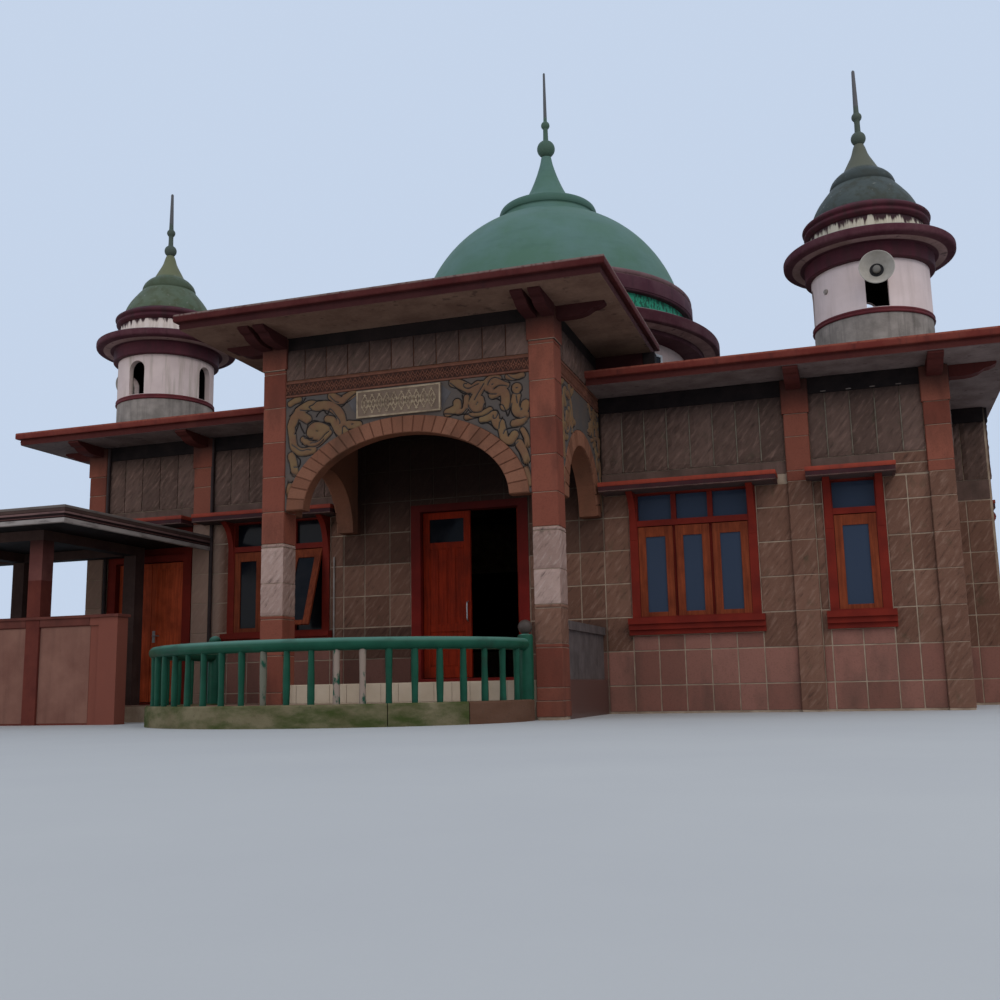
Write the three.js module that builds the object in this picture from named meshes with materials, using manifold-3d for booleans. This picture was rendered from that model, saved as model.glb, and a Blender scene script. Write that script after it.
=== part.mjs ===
// A village mosque: a hollow prayer hall with a domed roof, two corner turrets, an arched
// entrance portico, a curved terrace with a railing, and an open pavilion at its left side.
// Millimetres, +Z up, +X to the right of the facade, +Y from the facade to the rear.
// Inside this file y = 0 is the outer face of the hall's front wall and z = 0 the ground.
// The finished group is moved so that its origin lies on the ground under the dome's axis.
import * as THREE from "three";
import { mergeVertices } from "three/addons/utils/BufferGeometryUtils.js";
import Module from "manifold-3d";

const wasm = await Module();
wasm.setup();

// Clearance between a piece and a neighbour that it was cut around.
const GAP = 0.3;

// Hall
const WALL = 200;
const HALL_FLOOR = 440;
const HALL_SOFFIT = 3810;
const FRONT_HALF = 5700; // half width of the front block
const STEP_Y = 2300; // the hall grows wider behind this line
const REAR_HALF = 6320;
const HALL_DEPTH = 8540;
const ROOF_HALF = 6480;
const ROOF_FRONT = -700;
const ROOF_REAR = HALL_DEPTH + 700;
const CORNICE_BAND = 85; // height of each of the two bands of a cornice
const CORNICE_STEP = 55; // how far the upper band stands out
const ROOF_TOP = HALL_SOFFIT + 2 * CORNICE_BAND;

// Front openings, left to right
const SIDE_DOOR = { x0: -5370, x1: -4020, sill: 190, threshold: 30, leafHead: 2130, head: 2590 };
const WINDOW_LEFT = { x0: -3440, x1: -1930, lights: 3 };
const MAIN_DOOR = { x0: -780, x1: 780, sill: 400, threshold: 55, leafHead: 2560, head: 2650 };
const WINDOW_RIGHT = { x0: 2050, x1: 3540, lights: 3 };
const WINDOW_FAR_RIGHT = { x0: 4290, x1: 4950, lights: 1 };
const WINDOW_SILL = 1100;
const WINDOW_HEAD = 2590;
const HOOD_TOP = 2700;
const HOOD_DEPTH = 350;
const HOOD_ENDS = { left: -3810, right: 3800, farLeft: 4130, farRight: 5080 };
const SIDE_HOOD_DEPTH = 120; // the side walls' hoods stay under their narrow eaves
const HOOD_EARS = 150; // how far a side or rear hood runs past its window at each end
const PILASTER = { width: 260, depth: 50, left: -3850, right: 4050 };
const BRACKET = { width: 165, drop: 135, inset: 25, sideReach: 540 };
// The underside of a bracket from its tip: distance back from the tip and depth under the soffit.
const BRACKET_CURVE = [[0, 25], [70, 60], [125, 68], [190, 108], [260, 128], [330, BRACKET.drop]];

// Windows of the sides and the rear
const SIDE_WINDOW_WIDTH = 1500;
const SIDE_WINDOW_CENTRES = [4000, 6600];
const REAR_WINDOW_CENTRES = [-3400, 3400];

// Portico
const COLUMN = { inner: 1454, outer: 1720, front: -2080, back: -1814, capital: 3962, proud: 20 };
const PORTICO_SOFFIT = 4340;
const PORTICO_ROOF = { half: 2457, front: -2826, rear: 280, carrierHalf: 2300 };
const PORTICO_BRACKET = { width: 130, pair: 95, reach: 550 }; // pair: from the column's middle to each
const ARCH = { spring: 2325, half: 1200, rise: 769, ring: 190, ringSide: 220, proud: 30 };
const ARCH_PANEL = { front: -2060, back: -1950 };
const SIDE_ARCH = { inner: 1490, outer: 1700, half: 677, rise: 700 };
const PLAQUE = { x0: -550, x1: 450, z0: 3300, z1: 3610, proud: 45 };
const PORCH_FLOOR = 400;
const PORCH_FRONT = -2000;
const PORCH_WALL = { x0: 1510, x1: 1680, top: 920, coping: 90, proud: 30 };

// Terrace, kerb and railing follow one half ellipse
const TERRACE = { x: -700, y: -2150, a: 2060, b: 1550, top: 190, kerbTop: 210, kerbHalf: 80, tail: -1300 };
const RAIL = { z: 760, r: 60, balusterR: 32, spacing: 240, newelR: 78, newelTop: 860, ballR: 74, steps: 28 };

// Dome
const DOME_Y = HALL_DEPTH / 2;
const DOME = { r: 2230, centre: 6030, spring: 6515, shell: 90 };
const DRUM = { r: 2200, wall: 150, bottom: ROOF_TOP, top: 5700 };
const ROUND = 36; // sides of the dome's circles
const SMALL_ROUND = 20; // sides of the turrets' circles
const FINIAL_ROUND = 12; // sides of finials, newels and horns

// Turrets
const TURRET = { x: 5000, y: 660, r: 685, wall: 90, windowWidth: 255, windowSill: 4570, windowHead: 5070 };
const TURRET_TURN = { left: -1.8, right: 4.6 }; // degrees by which each turret's windows are turned

// Pavilion
const PAVILION = {
  right: -3700, left: -9200, front: -2950, rear: -PILASTER.depth, top: 2430, soffit: 2310,
  columns: [-4750, -6600, -8450], column: 190, frontRow: -2060, rearRow: -280, beam: 2190,
  wallEnd: -3550, coping: 1250, copingThick: 110, wall: 130, pierWidth: 260,
};

const STONE = new THREE.MeshStandardMaterial({ color: 0x6b4a40, roughness: 0.9 });
const RED_STONE = new THREE.MeshStandardMaterial({ color: 0x8a3f2c, roughness: 0.85 });
const PLASTER = new THREE.MeshStandardMaterial({ color: 0xc79a92, roughness: 0.9 });
const MAROON = new THREE.MeshStandardMaterial({ color: 0x5a1a20, roughness: 0.7 });
const CONCRETE = new THREE.MeshStandardMaterial({ color: 0x7c7a6c, roughness: 0.95 });
const ROOF_PAINT = new THREE.MeshStandardMaterial({ color: 0x7a2f26, roughness: 0.8 });
const DOME_GREEN = new THREE.MeshStandardMaterial({ color: 0x2f6f55, roughness: 0.6 });
const RAIL_GREEN = new THREE.MeshStandardMaterial({ color: 0x17553c, roughness: 0.5 });
const DOOR_WOOD = new THREE.MeshStandardMaterial({ color: 0x9c4420, roughness: 0.55 });
const FRAME_RED = new THREE.MeshStandardMaterial({ color: 0x8c1f12, roughness: 0.5 });
const GLASS = new THREE.MeshStandardMaterial({ color: 0x1b2740, roughness: 0.1 });
const TILE = new THREE.MeshStandardMaterial({ color: 0xc9ad86, roughness: 0.5 });
const HORN = new THREE.MeshStandardMaterial({ color: 0xb9bab4, roughness: 0.5, metalness: 0.3 });

// Booleans on closed geometries

function toSolid(geometry) {
  const bare = new THREE.BufferGeometry();
  const source = geometry.index ? geometry.toNonIndexed() : geometry;
  bare.setAttribute("position", source.getAttribute("position"));
  const merged = mergeVertices(bare, 1e-3);
  const index = merged.index.array;
  const triangles = [];
  for (let i = 0; i < index.length; i += 3) {
    const [a, b, c] = [index[i], index[i + 1], index[i + 2]];
    if (a !== b && b !== c && c !== a) triangles.push(a, b, c);
  }
  return new wasm.Manifold(new wasm.Mesh({
    numProp: 3,
    vertProperties: new Float32Array(merged.getAttribute("position").array),
    triVerts: new Uint32Array(triangles),
  }));
}

function toGeometry(solid) {
  const mesh = solid.getMesh();
  const geometry = new THREE.BufferGeometry();
  geometry.setAttribute("position", new THREE.BufferAttribute(new Float32Array(mesh.vertProperties), 3));
  geometry.setIndex(new THREE.BufferAttribute(new Uint32Array(mesh.triVerts), 1));
  geometry.computeVertexNormals();
  return geometry;
}

function joined(geometries) {
  return toGeometry(geometries.map(toSolid).reduce((sum, next) => sum.add(next)));
}

function cut(geometry, tools) {
  return toGeometry(tools.map(toSolid).reduce((rest, tool) => rest.subtract(tool), toSolid(geometry)));
}

// Basic forms

function block(x0, x1, y0, y1, z0, z1) {
  const geometry = new THREE.BoxGeometry(x1 - x0, y1 - y0, z1 - z0);
  return geometry.translate((x0 + x1) / 2, (y0 + y1) / 2, (z0 + z1) / 2);
}

function outline(points) {
  return new THREE.Shape(points.map(([u, v]) => new THREE.Vector2(u, v)));
}

// A plan outline given height.
function slab(shape, z0, z1, curveSegments = 18) {
  const geometry = new THREE.ExtrudeGeometry(shape, { depth: z1 - z0, bevelEnabled: false, curveSegments });
  return geometry.translate(0, 0, z0);
}

// An elevation outline, drawn in x and z, given depth along y.
function panel(shape, y0, y1, curveSegments = 18) {
  const geometry = new THREE.ExtrudeGeometry(shape, { depth: y1 - y0, bevelEnabled: false, curveSegments });
  return geometry.rotateX(Math.PI / 2).translate(0, y1, 0);
}

// A side outline, drawn in y and z, given width along x.
function sidePanel(shape, x0, x1, curveSegments = 18) {
  const geometry = new THREE.ExtrudeGeometry(shape, { depth: x1 - x0, bevelEnabled: false, curveSegments });
  return geometry.rotateX(Math.PI / 2).rotateZ(Math.PI / 2).translate(x0, 0, 0);
}

// A profile of [radius, height] points turned about a vertical axis.
function turned(profile, x, y, sides) {
  let area = 0;
  profile.forEach(([r, z], i) => {
    const [nextR, nextZ] = profile[(i + 1) % profile.length];
    area += r * nextZ - nextR * z;
  });
  const points = (area > 0 ? profile : [...profile].reverse()).map(([r, z]) => new THREE.Vector2(r, z));
  if (points[0].x > 0) points.push(points[0].clone());
  return new THREE.LatheGeometry(points, sides).rotateX(Math.PI / 2).translate(x, y, 0);
}

// Points of an arc of a sphere's section, from one height to another.
function spherePoints(radius, centre, z0, z1, steps) {
  return Array.from({ length: steps + 1 }, (_, i) => {
    const z = z0 + (i / steps) * (z1 - z0);
    return [Math.sqrt(radius ** 2 - (z - centre) ** 2), z];
  });
}

function ballPoints(radius, centre, neckBelow, neckAbove, steps) {
  const low = -Math.sqrt(radius ** 2 - neckBelow ** 2);
  const high = Math.sqrt(radius ** 2 - neckAbove ** 2);
  const from = Math.atan2(low, neckBelow);
  const to = Math.atan2(high, neckAbove);
  return Array.from({ length: steps + 1 }, (_, i) => {
    const angle = from + (i / steps) * (to - from);
    return [radius * Math.cos(angle), centre + radius * Math.sin(angle)];
  });
}

// Half of an elliptical ring standing on its spring line, in x and z.
function archRing(half, rise, spring, side, crown) {
  const shape = new THREE.Shape();
  shape.moveTo(half + side, spring);
  shape.absellipse(0, spring, half + side, rise + crown, 0, Math.PI, false, 0);
  shape.lineTo(-half, spring);
  shape.absellipse(0, spring, half, rise, Math.PI, 0, true, 0);
  return shape;
}

// A wall panel from the spring line up, with a half ellipse cut out of its foot.
function archPanelShape(low, high, centre, half, rise, spring, top) {
  const shape = new THREE.Shape();
  shape.moveTo(high, spring);
  shape.lineTo(high, top);
  shape.lineTo(low, top);
  shape.lineTo(low, spring);
  shape.lineTo(centre - half, spring);
  shape.absellipse(centre, spring, half, rise, Math.PI, 0, true, 0);
  return shape;
}

const model = new THREE.Group();

function add(name, geometry, material) {
  const mesh = new THREE.Mesh(geometry, material);
  mesh.name = name;
  model.add(mesh);
}

// Hall floor: a raised plinth with a lower entry behind the side door
const ENTRY = { x0: -5420, x1: -3970, depth: 1100 };

function hallFloor() {
  const half = FRONT_HALF - WALL;
  const rear = REAR_HALF - WALL;
  return slab(outline([
    [-half, WALL + ENTRY.depth], [ENTRY.x0, WALL + ENTRY.depth], [ENTRY.x1, WALL + ENTRY.depth],
    [ENTRY.x1, WALL], [half, WALL], [half, STEP_Y + WALL], [rear, STEP_Y + WALL],
    [rear, HALL_DEPTH - WALL], [-rear, HALL_DEPTH - WALL], [-rear, STEP_Y + WALL], [-half, STEP_Y + WALL],
  ]), 0, HALL_FLOOR);
}

add("hall_floor", hallFloor(), TILE);
add("side_entry_floor",
  block(-(FRONT_HALF - WALL), ENTRY.x1, WALL, WALL + ENTRY.depth, 0, SIDE_DOOR.sill), TILE);

// Front wall, split beside and over the doorways, with pilasters and window hoods
function pilaster(centre) {
  return block(centre - PILASTER.width / 2, centre + PILASTER.width / 2, -PILASTER.depth, 1, 0, HALL_SOFFIT);
}

function hood(x0, x1) {
  return block(x0, x1, -HOOD_DEPTH, 1, WINDOW_HEAD, HOOD_TOP);
}

function windowCut(x0, x1) {
  return block(x0, x1, -10, WALL + 10, WINDOW_SILL, WINDOW_HEAD);
}

const CORNER = FRONT_HALF - PILASTER.width / 2;
const HOOD_INNER = COLUMN.outer + 40;
const leftPilasterEdge = PILASTER.left - PILASTER.width / 2;

add("front_wall_left_end", joined([
  block(-FRONT_HALF, SIDE_DOOR.x0, 0, WALL, 0, HALL_SOFFIT),
  pilaster(-CORNER),
]), STONE);
add("front_wall_over_side_door", joined([
  block(SIDE_DOOR.x0, SIDE_DOOR.x1, 0, WALL, SIDE_DOOR.head, HALL_SOFFIT),
  block(-CORNER + PILASTER.width / 2 + GAP, leftPilasterEdge - GAP, -HOOD_DEPTH, -GAP, WINDOW_HEAD, HOOD_TOP),
  block(SIDE_DOOR.x0 + 50, SIDE_DOOR.x1 - 50, -10, 10, WINDOW_HEAD, HOOD_TOP),
]), STONE);
add("front_wall_left", cut(joined([
  block(SIDE_DOOR.x1, MAIN_DOOR.x0, 0, WALL, 0, HALL_SOFFIT),
  pilaster(PILASTER.left),
  hood(HOOD_ENDS.left, -HOOD_INNER),
]), [windowCut(WINDOW_LEFT.x0, WINDOW_LEFT.x1)]), STONE);
add("front_wall_over_main_door",
  block(MAIN_DOOR.x0, MAIN_DOOR.x1, 0, WALL, MAIN_DOOR.head, HALL_SOFFIT), STONE);
add("front_wall_right", cut(joined([
  block(MAIN_DOOR.x1, FRONT_HALF, 0, WALL, 0, HALL_SOFFIT),
  pilaster(PILASTER.right),
  pilaster(CORNER),
  hood(HOOD_INNER, HOOD_ENDS.right),
  hood(HOOD_ENDS.farLeft, HOOD_ENDS.farRight),
]), [
  windowCut(WINDOW_RIGHT.x0, WINDOW_RIGHT.x1),
  windowCut(WINDOW_FAR_RIGHT.x0, WINDOW_FAR_RIGHT.x1),
]), STONE);

// Side and rear walls
function sideWallOutline(side) {
  const out = side * FRONT_HALF;
  const inner = side * (FRONT_HALF - WALL);
  const rearOut = side * REAR_HALF;
  const rearIn = side * (REAR_HALF - WALL);
  return outline([
    [out, WALL], [out, STEP_Y], [rearOut, STEP_Y], [rearOut, HALL_DEPTH], [rearIn, HALL_DEPTH],
    [rearIn, STEP_Y + WALL], [inner, STEP_Y + WALL], [inner, WALL],
  ]);
}

function sideWall(side) {
  const across = (from, to) => [Math.min(side * from, side * to), Math.max(side * from, side * to)];
  const half = SIDE_WINDOW_WIDTH / 2;
  const hoods = SIDE_WINDOW_CENTRES.map((centre) => block(
    ...across(REAR_HALF - 1, REAR_HALF + SIDE_HOOD_DEPTH),
    centre - half - HOOD_EARS, centre + half + HOOD_EARS, WINDOW_HEAD, HOOD_TOP));
  const openings = SIDE_WINDOW_CENTRES.map((centre) => block(
    ...across(REAR_HALF - WALL - 10, REAR_HALF + 10), centre - half, centre + half,
    WINDOW_SILL, WINDOW_HEAD));
  return cut(joined([slab(sideWallOutline(side), 0, HALL_SOFFIT), ...hoods]), openings);
}

function rearWall() {
  const half = SIDE_WINDOW_WIDTH / 2;
  const hoods = REAR_WINDOW_CENTRES.map((centre) => block(
    centre - half - HOOD_EARS, centre + half + HOOD_EARS, HALL_DEPTH - 1, HALL_DEPTH + HOOD_DEPTH,
    WINDOW_HEAD, HOOD_TOP));
  const openings = REAR_WINDOW_CENTRES.map((centre) => block(
    centre - half, centre + half, HALL_DEPTH - WALL - 10, HALL_DEPTH + 10, WINDOW_SILL, WINDOW_HEAD));
  const wall = block(-(REAR_HALF - WALL), REAR_HALF - WALL, HALL_DEPTH - WALL, HALL_DEPTH, 0, HALL_SOFFIT);
  return cut(joined([wall, ...hoods]), openings);
}

add("left_side_wall", sideWall(-1), STONE);
add("right_side_wall", sideWall(1), STONE);
add("rear_wall", rearWall(), STONE);

// Glass: one pane behind each window group
const PANE = 6;
const PANE_SINK = 60; // how far behind the outer face of the wall the pane stands

function frontPane(opening) {
  return block(opening.x0, opening.x1, PANE_SINK, PANE_SINK + PANE, WINDOW_SILL, WINDOW_HEAD);
}

// A front window's frame, its mullions set back between the lights, transom and stepped sill
const FRAME = { post: 100, mullion: 60, head: 20, rail: 70, transom: 2190, front: -30, back: PANE_SINK };
const MULLION_FRONT = 12;
const SILL_EARS = 40; // how far a sill runs past its window at each side
const SILL_BANDS = [[905, 965, 60], [965, 1030, 95], [1030, WINDOW_SILL, 130]];

function windowFrame({ x0, x1, lights }) {
  const face = [FRAME.front, FRAME.back];
  const light = (x1 - x0 - 2 * FRAME.post) / lights;
  const mullions = Array.from({ length: lights - 1 }, (_, i) => {
    const middle = x0 + FRAME.post + (i + 1) * light;
    return block(middle - FRAME.mullion / 2, middle + FRAME.mullion / 2, MULLION_FRONT, FRAME.back,
      WINDOW_SILL, WINDOW_HEAD);
  });
  return joined([
    block(x0, x1, ...face, WINDOW_SILL, WINDOW_SILL + FRAME.head),
    block(x0, x1, ...face, WINDOW_HEAD - FRAME.head, WINDOW_HEAD),
    block(x0, x0 + FRAME.post, ...face, WINDOW_SILL, WINDOW_HEAD),
    block(x1 - FRAME.post, x1, ...face, WINDOW_SILL, WINDOW_HEAD),
    ...mullions,
    block(x0, x1, ...face, FRAME.transom, FRAME.transom + FRAME.rail),
    ...SILL_BANDS.map(([z0, z1, out]) => block(x0 - SILL_EARS, x1 + SILL_EARS, -out, -GAP, z0, z1)),
    block(x0, x1, FRAME.front, -GAP, WINDOW_SILL - 5, WINDOW_SILL + FRAME.head),
  ]);
}

const FRONT_WINDOWS = { left: WINDOW_LEFT, right: WINDOW_RIGHT, far_right: WINDOW_FAR_RIGHT };
for (const [place, opening] of Object.entries(FRONT_WINDOWS)) {
  add(`window_${place}_frame`, windowFrame(opening), FRAME_RED);
  add(`window_${place}_glass`, frontPane(opening), GLASS);
}
for (const [place, side] of [["left", -1], ["right", 1]]) {
  const inner = side * (REAR_HALF - WALL);
  add(`${place}_side_glass`, block(
    Math.min(inner, inner - side * PANE), Math.max(inner, inner - side * PANE),
    SIDE_WINDOW_CENTRES[0] - SIDE_WINDOW_WIDTH / 2 - 50, SIDE_WINDOW_CENTRES[1] + SIDE_WINDOW_WIDTH / 2 + 50,
    WINDOW_SILL - 50, WINDOW_HEAD + 50), GLASS);
}
add("rear_glass", block(
  REAR_WINDOW_CENTRES[0] - SIDE_WINDOW_WIDTH / 2 - 50, REAR_WINDOW_CENTRES[1] + SIDE_WINDOW_WIDTH / 2 + 50,
  HALL_DEPTH - WALL - PANE, HALL_DEPTH - WALL, WINDOW_SILL - 50, WINDOW_HEAD + 50), GLASS);

// Doors: each has a frame in its wall and two leaves that open inward
const POST = 130;
const LEAF = { thick: 40, front: 60, gap: 8 };
const KNUCKLE = { r: LEAF.gap - GAP, height: 100, inset: 220 };
const TRANSOM = 90;

function doorFrame(door) {
  const face = [-20, WALL - 40];
  const parts = [
    block(door.x0, door.x0 + POST, ...face, door.sill, door.head),
    block(door.x1 - POST, door.x1, ...face, door.sill, door.head),
    block(door.x0, door.x1, ...face, door.leafHead, Math.min(door.leafHead + TRANSOM, door.head)),
    block(door.x0, door.x1, ...face, door.sill, door.sill + door.threshold),
  ];
  if (door.head > door.leafHead + 2 * TRANSOM) {
    parts.push(block(door.x0, door.x1, ...face, door.head - 60, door.head));
    parts.push(block(
      door.x0 + POST - 1, door.x1 - POST + 1, 80, 90, door.leafHead + TRANSOM - 1, door.head - 59));
  }
  return joined(parts);
}

// A leaf hangs from knuckles at its outer edge, close to the post, and stops short of the middle.
function leaf(door, side) {
  const edge = side < 0 ? door.x0 + POST + LEAF.gap : door.x1 - POST - LEAF.gap;
  const middle = (door.x0 + door.x1) / 2 + (side * LEAF.gap) / 2;
  const bottom = door.sill + door.threshold + LEAF.gap;
  const top = door.leafHead - LEAF.gap;
  const knuckles = [bottom + KNUCKLE.inset, top - KNUCKLE.inset].map((z) => (
    new THREE.CylinderGeometry(KNUCKLE.r, KNUCKLE.r, KNUCKLE.height, 12)
      .rotateX(Math.PI / 2).translate(edge, LEAF.front + LEAF.thick, z)));
  return joined([
    block(Math.min(edge, middle), Math.max(edge, middle), LEAF.front, LEAF.front + LEAF.thick, bottom, top),
    ...knuckles,
  ]);
}

add("main_door_frame", doorFrame(MAIN_DOOR), FRAME_RED);
add("main_door_left", leaf(MAIN_DOOR, -1), DOOR_WOOD);
add("side_door_frame", doorFrame(SIDE_DOOR), FRAME_RED);
add("side_door_left", leaf(SIDE_DOOR, -1), DOOR_WOOD);
add("side_door_right", leaf(SIDE_DOOR, 1), DOOR_WOOD);

// The main door's right leaf stands open at rest, turned inward about its hinge line.
const MAIN_RIGHT_OPEN = 84;
const mainHinge = { x: MAIN_DOOR.x1 - POST - LEAF.gap, y: LEAF.front + LEAF.thick };
add("main_door_right", leaf(MAIN_DOOR, 1)
  .translate(-mainHinge.x, -mainHinge.y, 0)
  .rotateZ(THREE.MathUtils.degToRad(-MAIN_RIGHT_OPEN))
  .translate(mainHinge.x, mainHinge.y, 0), DOOR_WOOD);

// Roof slabs end in a cornice of two bands, the upper one standing out
function cornicedSlab(halfWidth, front, rear, soffit) {
  return [
    block(-halfWidth + CORNICE_STEP, halfWidth - CORNICE_STEP, front + CORNICE_STEP, rear - CORNICE_STEP,
      soffit, soffit + CORNICE_BAND + 1),
    block(-halfWidth, halfWidth, front, rear, soffit + CORNICE_BAND, soffit + 2 * CORNICE_BAND),
  ];
}

// The side outline of a bracket under a soffit, from its tip back to the wall that carries it
function bracketOutline(tip, wall, soffit) {
  const back = Math.sign(wall - tip);
  return outline([
    [tip, soffit + 1], ...BRACKET_CURVE.map(([along, drop]) => [tip + back * along, soffit - drop]),
    [wall, soffit - BRACKET.drop], [wall, soffit + 1],
  ]);
}

// A bracket that reaches out in front of a wall or behind it
function bracket(centre, wallY, tipY, soffit, width) {
  return sidePanel(bracketOutline(tipY, wallY, soffit), centre - width / 2, centre + width / 2);
}

// A bracket that reaches out to one side, between two wall faces and its tip
function sideBracket(side, wallX, tipX, y, soffit, width) {
  return panel(bracketOutline(side * tipX, side * wallX, soffit), y - width / 2, y + width / 2);
}

function hallRoof() {
  const { width, inset, sideReach } = BRACKET;
  const frontTip = ROOF_FRONT + CORNICE_STEP + inset;
  const rearTip = ROOF_REAR - CORNICE_STEP - inset;
  const rearCorner = REAR_HALF - width;
  const hole = DRUM.r - DRUM.wall;
  return cut(joined([
    ...cornicedSlab(ROOF_HALF, ROOF_FRONT, ROOF_REAR, HALL_SOFFIT),
    ...[-CORNER, PILASTER.left, PILASTER.right, CORNER].map(
      (centre) => bracket(centre, -PILASTER.depth - GAP, frontTip, HALL_SOFFIT, width)),
    ...[-rearCorner, 0, rearCorner].map(
      (centre) => bracket(centre, HALL_DEPTH + GAP, rearTip, HALL_SOFFIT, width)),
    ...[-1, 1].map((side) => sideBracket(
      side, FRONT_HALF + GAP, FRONT_HALF + sideReach, PILASTER.width / 2, HALL_SOFFIT, width)),
  ]), [
    block(-COLUMN.outer - GAP, COLUMN.outer + GAP, ROOF_FRONT - 100, 0, HALL_SOFFIT - 200, ROOF_TOP + 10),
    turned([[0, HALL_SOFFIT - 10], [hole, HALL_SOFFIT - 10], [hole, ROOF_TOP + 10], [0, ROOF_TOP + 10]],
      0, DOME_Y, ROUND),
  ]);
}

add("hall_roof", hallRoof(), ROOF_PAINT);

// Portico columns with a plain capital
function column(side) {
  const x0 = Math.min(side * COLUMN.inner, side * COLUMN.outer);
  const x1 = Math.max(side * COLUMN.inner, side * COLUMN.outer);
  const p = COLUMN.proud;
  const inside = side > 0 ? [x0, x1 + p] : [x0 - p, x1];
  return joined([
    block(x0, x1, COLUMN.front, COLUMN.back, 0, PORTICO_SOFFIT),
    block(...inside, COLUMN.front - p, COLUMN.back, COLUMN.capital, PORTICO_SOFFIT),
  ]);
}

add("portico_column_left", column(-1), RED_STONE);
add("portico_column_right", column(1), RED_STONE);
add("portico_arch", joined([
  panel(archPanelShape(-COLUMN.inner, COLUMN.inner, 0, ARCH.half, ARCH.rise, ARCH.spring, PORTICO_SOFFIT),
    ARCH_PANEL.front, ARCH_PANEL.back),
  panel(archRing(ARCH.half, ARCH.rise, ARCH.spring, ARCH.ringSide, ARCH.ring),
    ARCH_PANEL.front - ARCH.proud, ARCH_PANEL.front + 5),
]), STONE);
add("portico_plaque", block(
  PLAQUE.x0, PLAQUE.x1, ARCH_PANEL.front - PLAQUE.proud, ARCH_PANEL.front, PLAQUE.z0, PLAQUE.z1), CONCRETE);

function sideArch(side) {
  const centre = COLUMN.back / 2;
  const { half, rise } = SIDE_ARCH;
  const shape = archPanelShape(COLUMN.back, 0, centre, half, rise, ARCH.spring, PORTICO_SOFFIT);
  const [x0, x1] = side > 0 ? [SIDE_ARCH.inner, SIDE_ARCH.outer] : [-SIDE_ARCH.outer, -SIDE_ARCH.inner];
  return sidePanel(shape, x0, x1);
}

add("portico_side_arch_left", sideArch(-1), STONE);
add("portico_side_arch_right", sideArch(1), STONE);

// Portico roof with paired brackets in front, one at each side, and the wall that carries its rear
const capitalFront = COLUMN.front - COLUMN.proud;
const porticoTip = capitalFront - PORTICO_BRACKET.reach;
const columnMiddle = (COLUMN.inner + COLUMN.outer) / 2;
add("portico_roof", joined([
  ...cornicedSlab(PORTICO_ROOF.half, PORTICO_ROOF.front, PORTICO_ROOF.rear, PORTICO_SOFFIT),
  block(-PORTICO_ROOF.carrierHalf, PORTICO_ROOF.carrierHalf, 0, WALL, ROOF_TOP, PORTICO_SOFFIT + 1),
  ...[-1, 1].flatMap((side) => [
    bracket(side * (columnMiddle - PORTICO_BRACKET.pair), capitalFront - GAP, porticoTip,
      PORTICO_SOFFIT, PORTICO_BRACKET.width),
    bracket(side * (columnMiddle + PORTICO_BRACKET.pair), capitalFront - GAP, porticoTip,
      PORTICO_SOFFIT, PORTICO_BRACKET.width),
    sideBracket(side, COLUMN.outer + COLUMN.proud + GAP, COLUMN.outer + PORTICO_BRACKET.reach,
      (COLUMN.front + COLUMN.back) / 2, PORTICO_SOFFIT, PORTICO_BRACKET.width),
  ]),
]), ROOF_PAINT);

// Porch floor, with a tongue under the main door, cut around the columns
function columnClearance(side) {
  const x0 = Math.min(side * COLUMN.inner, side * COLUMN.outer) - GAP;
  const x1 = Math.max(side * COLUMN.inner, side * COLUMN.outer) + GAP;
  return block(x0, x1, COLUMN.front - GAP, COLUMN.back + GAP, -10, PORTICO_SOFFIT);
}

add("porch_floor", cut(joined([
  block(-COLUMN.outer, COLUMN.outer, PORCH_FRONT, 0, 0, PORCH_FLOOR),
  block(MAIN_DOOR.x0, MAIN_DOOR.x1, -1, WALL, 0, PORCH_FLOOR),
]), [columnClearance(-1), columnClearance(1)]), TILE);
add("porch_side_wall", joined([
  block(PORCH_WALL.x0, PORCH_WALL.x1, COLUMN.back, 0, PORCH_FLOOR, PORCH_WALL.top),
  block(PORCH_WALL.x0 - PORCH_WALL.proud, PORCH_WALL.x1 + PORCH_WALL.proud, COLUMN.back, 0,
    PORCH_WALL.top - 1, PORCH_WALL.top + PORCH_WALL.coping),
]), CONCRETE);

// Terrace slab, kerb and railing
const T = TERRACE;

function terraceShape(grow) {
  const shape = new THREE.Shape();
  shape.moveTo(T.x - T.a - grow, T.tail);
  shape.lineTo(T.x - T.a - grow, T.y);
  shape.absellipse(T.x, T.y, T.a + grow, T.b + grow, Math.PI, 2 * Math.PI, false, 0);
  return shape;
}

function terrace() {
  const shape = terraceShape(-T.kerbHalf - GAP);
  shape.lineTo(T.x + T.a - T.kerbHalf - GAP, PORCH_FRONT - GAP);
  shape.lineTo(-COLUMN.outer - GAP, PORCH_FRONT - GAP);
  shape.lineTo(-COLUMN.outer - GAP, 0);
  shape.lineTo(SIDE_DOOR.x0, 0);
  shape.lineTo(SIDE_DOOR.x0, T.tail);
  return cut(joined([
    slab(shape, 0, T.top),
    block(SIDE_DOOR.x0, SIDE_DOOR.x1, -1, WALL, 0, SIDE_DOOR.sill),
  ]), [
    columnClearance(-1),
    block(leftPilasterEdge - GAP, leftPilasterEdge + PILASTER.width + GAP, -PILASTER.depth - GAP, 10,
      -10, T.top + 10),
  ]);
}

function kerb() {
  const shape = terraceShape(T.kerbHalf);
  const grow = -T.kerbHalf;
  shape.lineTo(T.x + T.a + grow, T.y);
  shape.absellipse(T.x, T.y, T.a + grow, T.b + grow, 2 * Math.PI, Math.PI, true, 0);
  shape.lineTo(T.x - T.a - grow, T.tail);
  return slab(shape, 0, T.kerbTop);
}

add("terrace_floor", terrace(), TILE);
add("terrace_kerb", kerb(), CONCRETE);

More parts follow.
